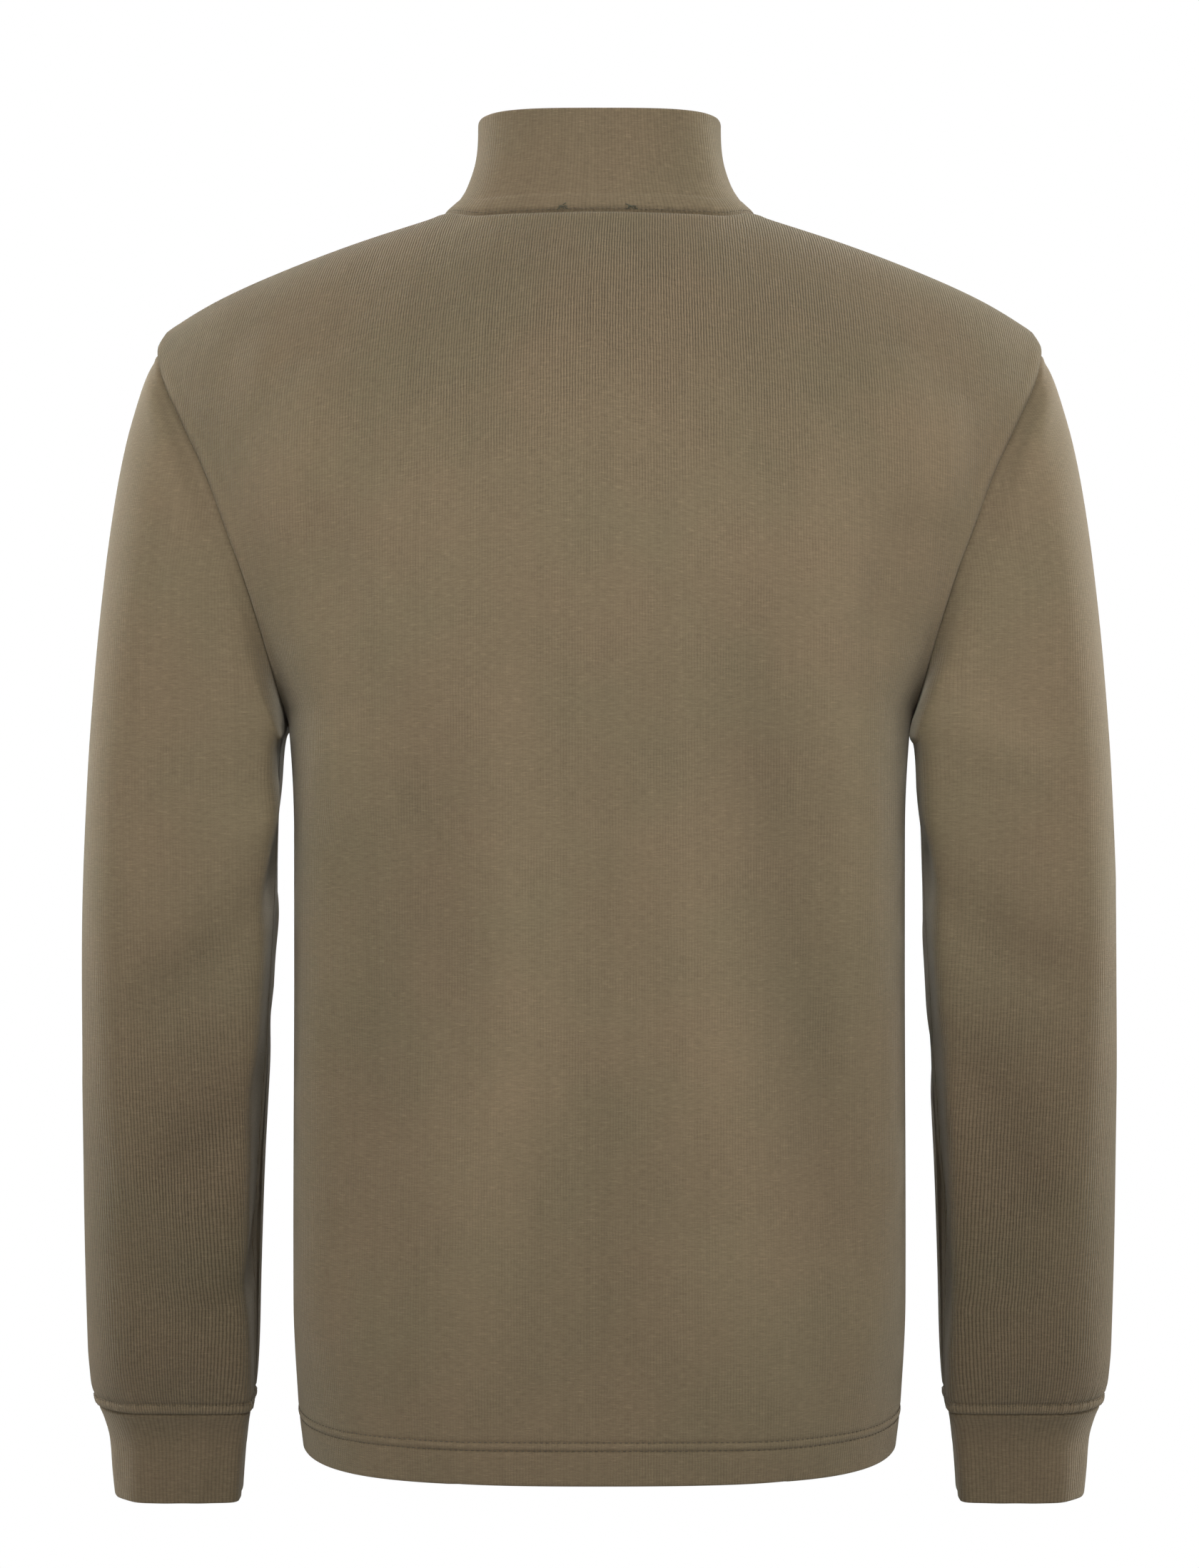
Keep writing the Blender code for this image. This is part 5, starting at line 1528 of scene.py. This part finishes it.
plate = rounded(both_sides([(2.2, -5.5), (4.1, -3.8), (4.1, -0.8), (3.4, 1.4), (3.4, 5.5)]), 1.4)
slider_parts = []
for face in (1, -1):
    middle = face * (PLATE_IN + PLATE_OUT) / 2
    slider_parts.append(cast_plate([plate], PLATE_OUT - PLATE_IN, 0.4, raised(middle)))
for x in (-3.0, 3.0):
    rail = rounded(both_sides([(0.4, 0.8), (0.4, 5.3)], x), 0.3)
    for out in (RAIL_OUT, -RAIL_OUT):
        slider_parts.append(cast_plate([rail], 1.0, 0.2, raised(out)))
post = rounded(both_sides([(0.8, -5.3), (0.6, -3.5)]), 0.4)
slider_parts.append(cast_plate([post], 2 * PLATE_OUT - 0.6, 0.2, slider_frame))
bridge = rounded(
    [(-3.6, BRIDGE_FOOT), (-2.4, BRIDGE_FOOT), (-2.4, BRIDGE_LOW), (2.4, BRIDGE_LOW),
     (2.4, BRIDGE_FOOT), (3.6, BRIDGE_FOOT), (3.6, BRIDGE_TOP), (-3.6, BRIDGE_TOP)],
    (0.0, 0.0, 1.0, 1.0, 0.0, 0.0, 2.0, 2.0),
)
upright_turn = Matrix(((0, 0, 1, 0), (1, 0, 0, 0), (0, 1, 0, 0), (0, 0, 0, 1)))
slider_parts.append(cast_plate([bridge], 1.8, 0.3, slider_frame @ upright_turn))
metal_piece("zip_slider_cast", slider_parts, "zip_slider")

# The pull: a plain tapered tab with rounded ends, an eye for the bridge and a slot below.
hanging = Matrix(((1, 0, 0, 0), (0, 0, -1, 0), (0, -1, 0, 0), (0, 0, 0, 1)))
pull_hinge = raised(PIN_OUT).translation
tab = rounded(
    both_sides([(2.4, -0.5), (2.9, 3.0), (2.5, 9.0), (2.9, 25.0), (2.2, 27.0)]),
    (1.3, 1.3, 2.0, 3.0, 2.0, 1.2, 1.2, 2.0, 3.0, 2.0),
)
eye = rounded(both_sides([(1.4, 0.5), (1.4, 6.4)]), 0.8)
slot = rounded(both_sides([(0.9, 11.5), (1.2, 22.8)]), 0.9)
pull_place = Matrix.Translation(pull_hinge) @ hanging
metal_piece("zip_pull_tab", [cast_plate([tab, eye, slot], 1.4, 0.35, pull_place)], "zip_pull", "pull")
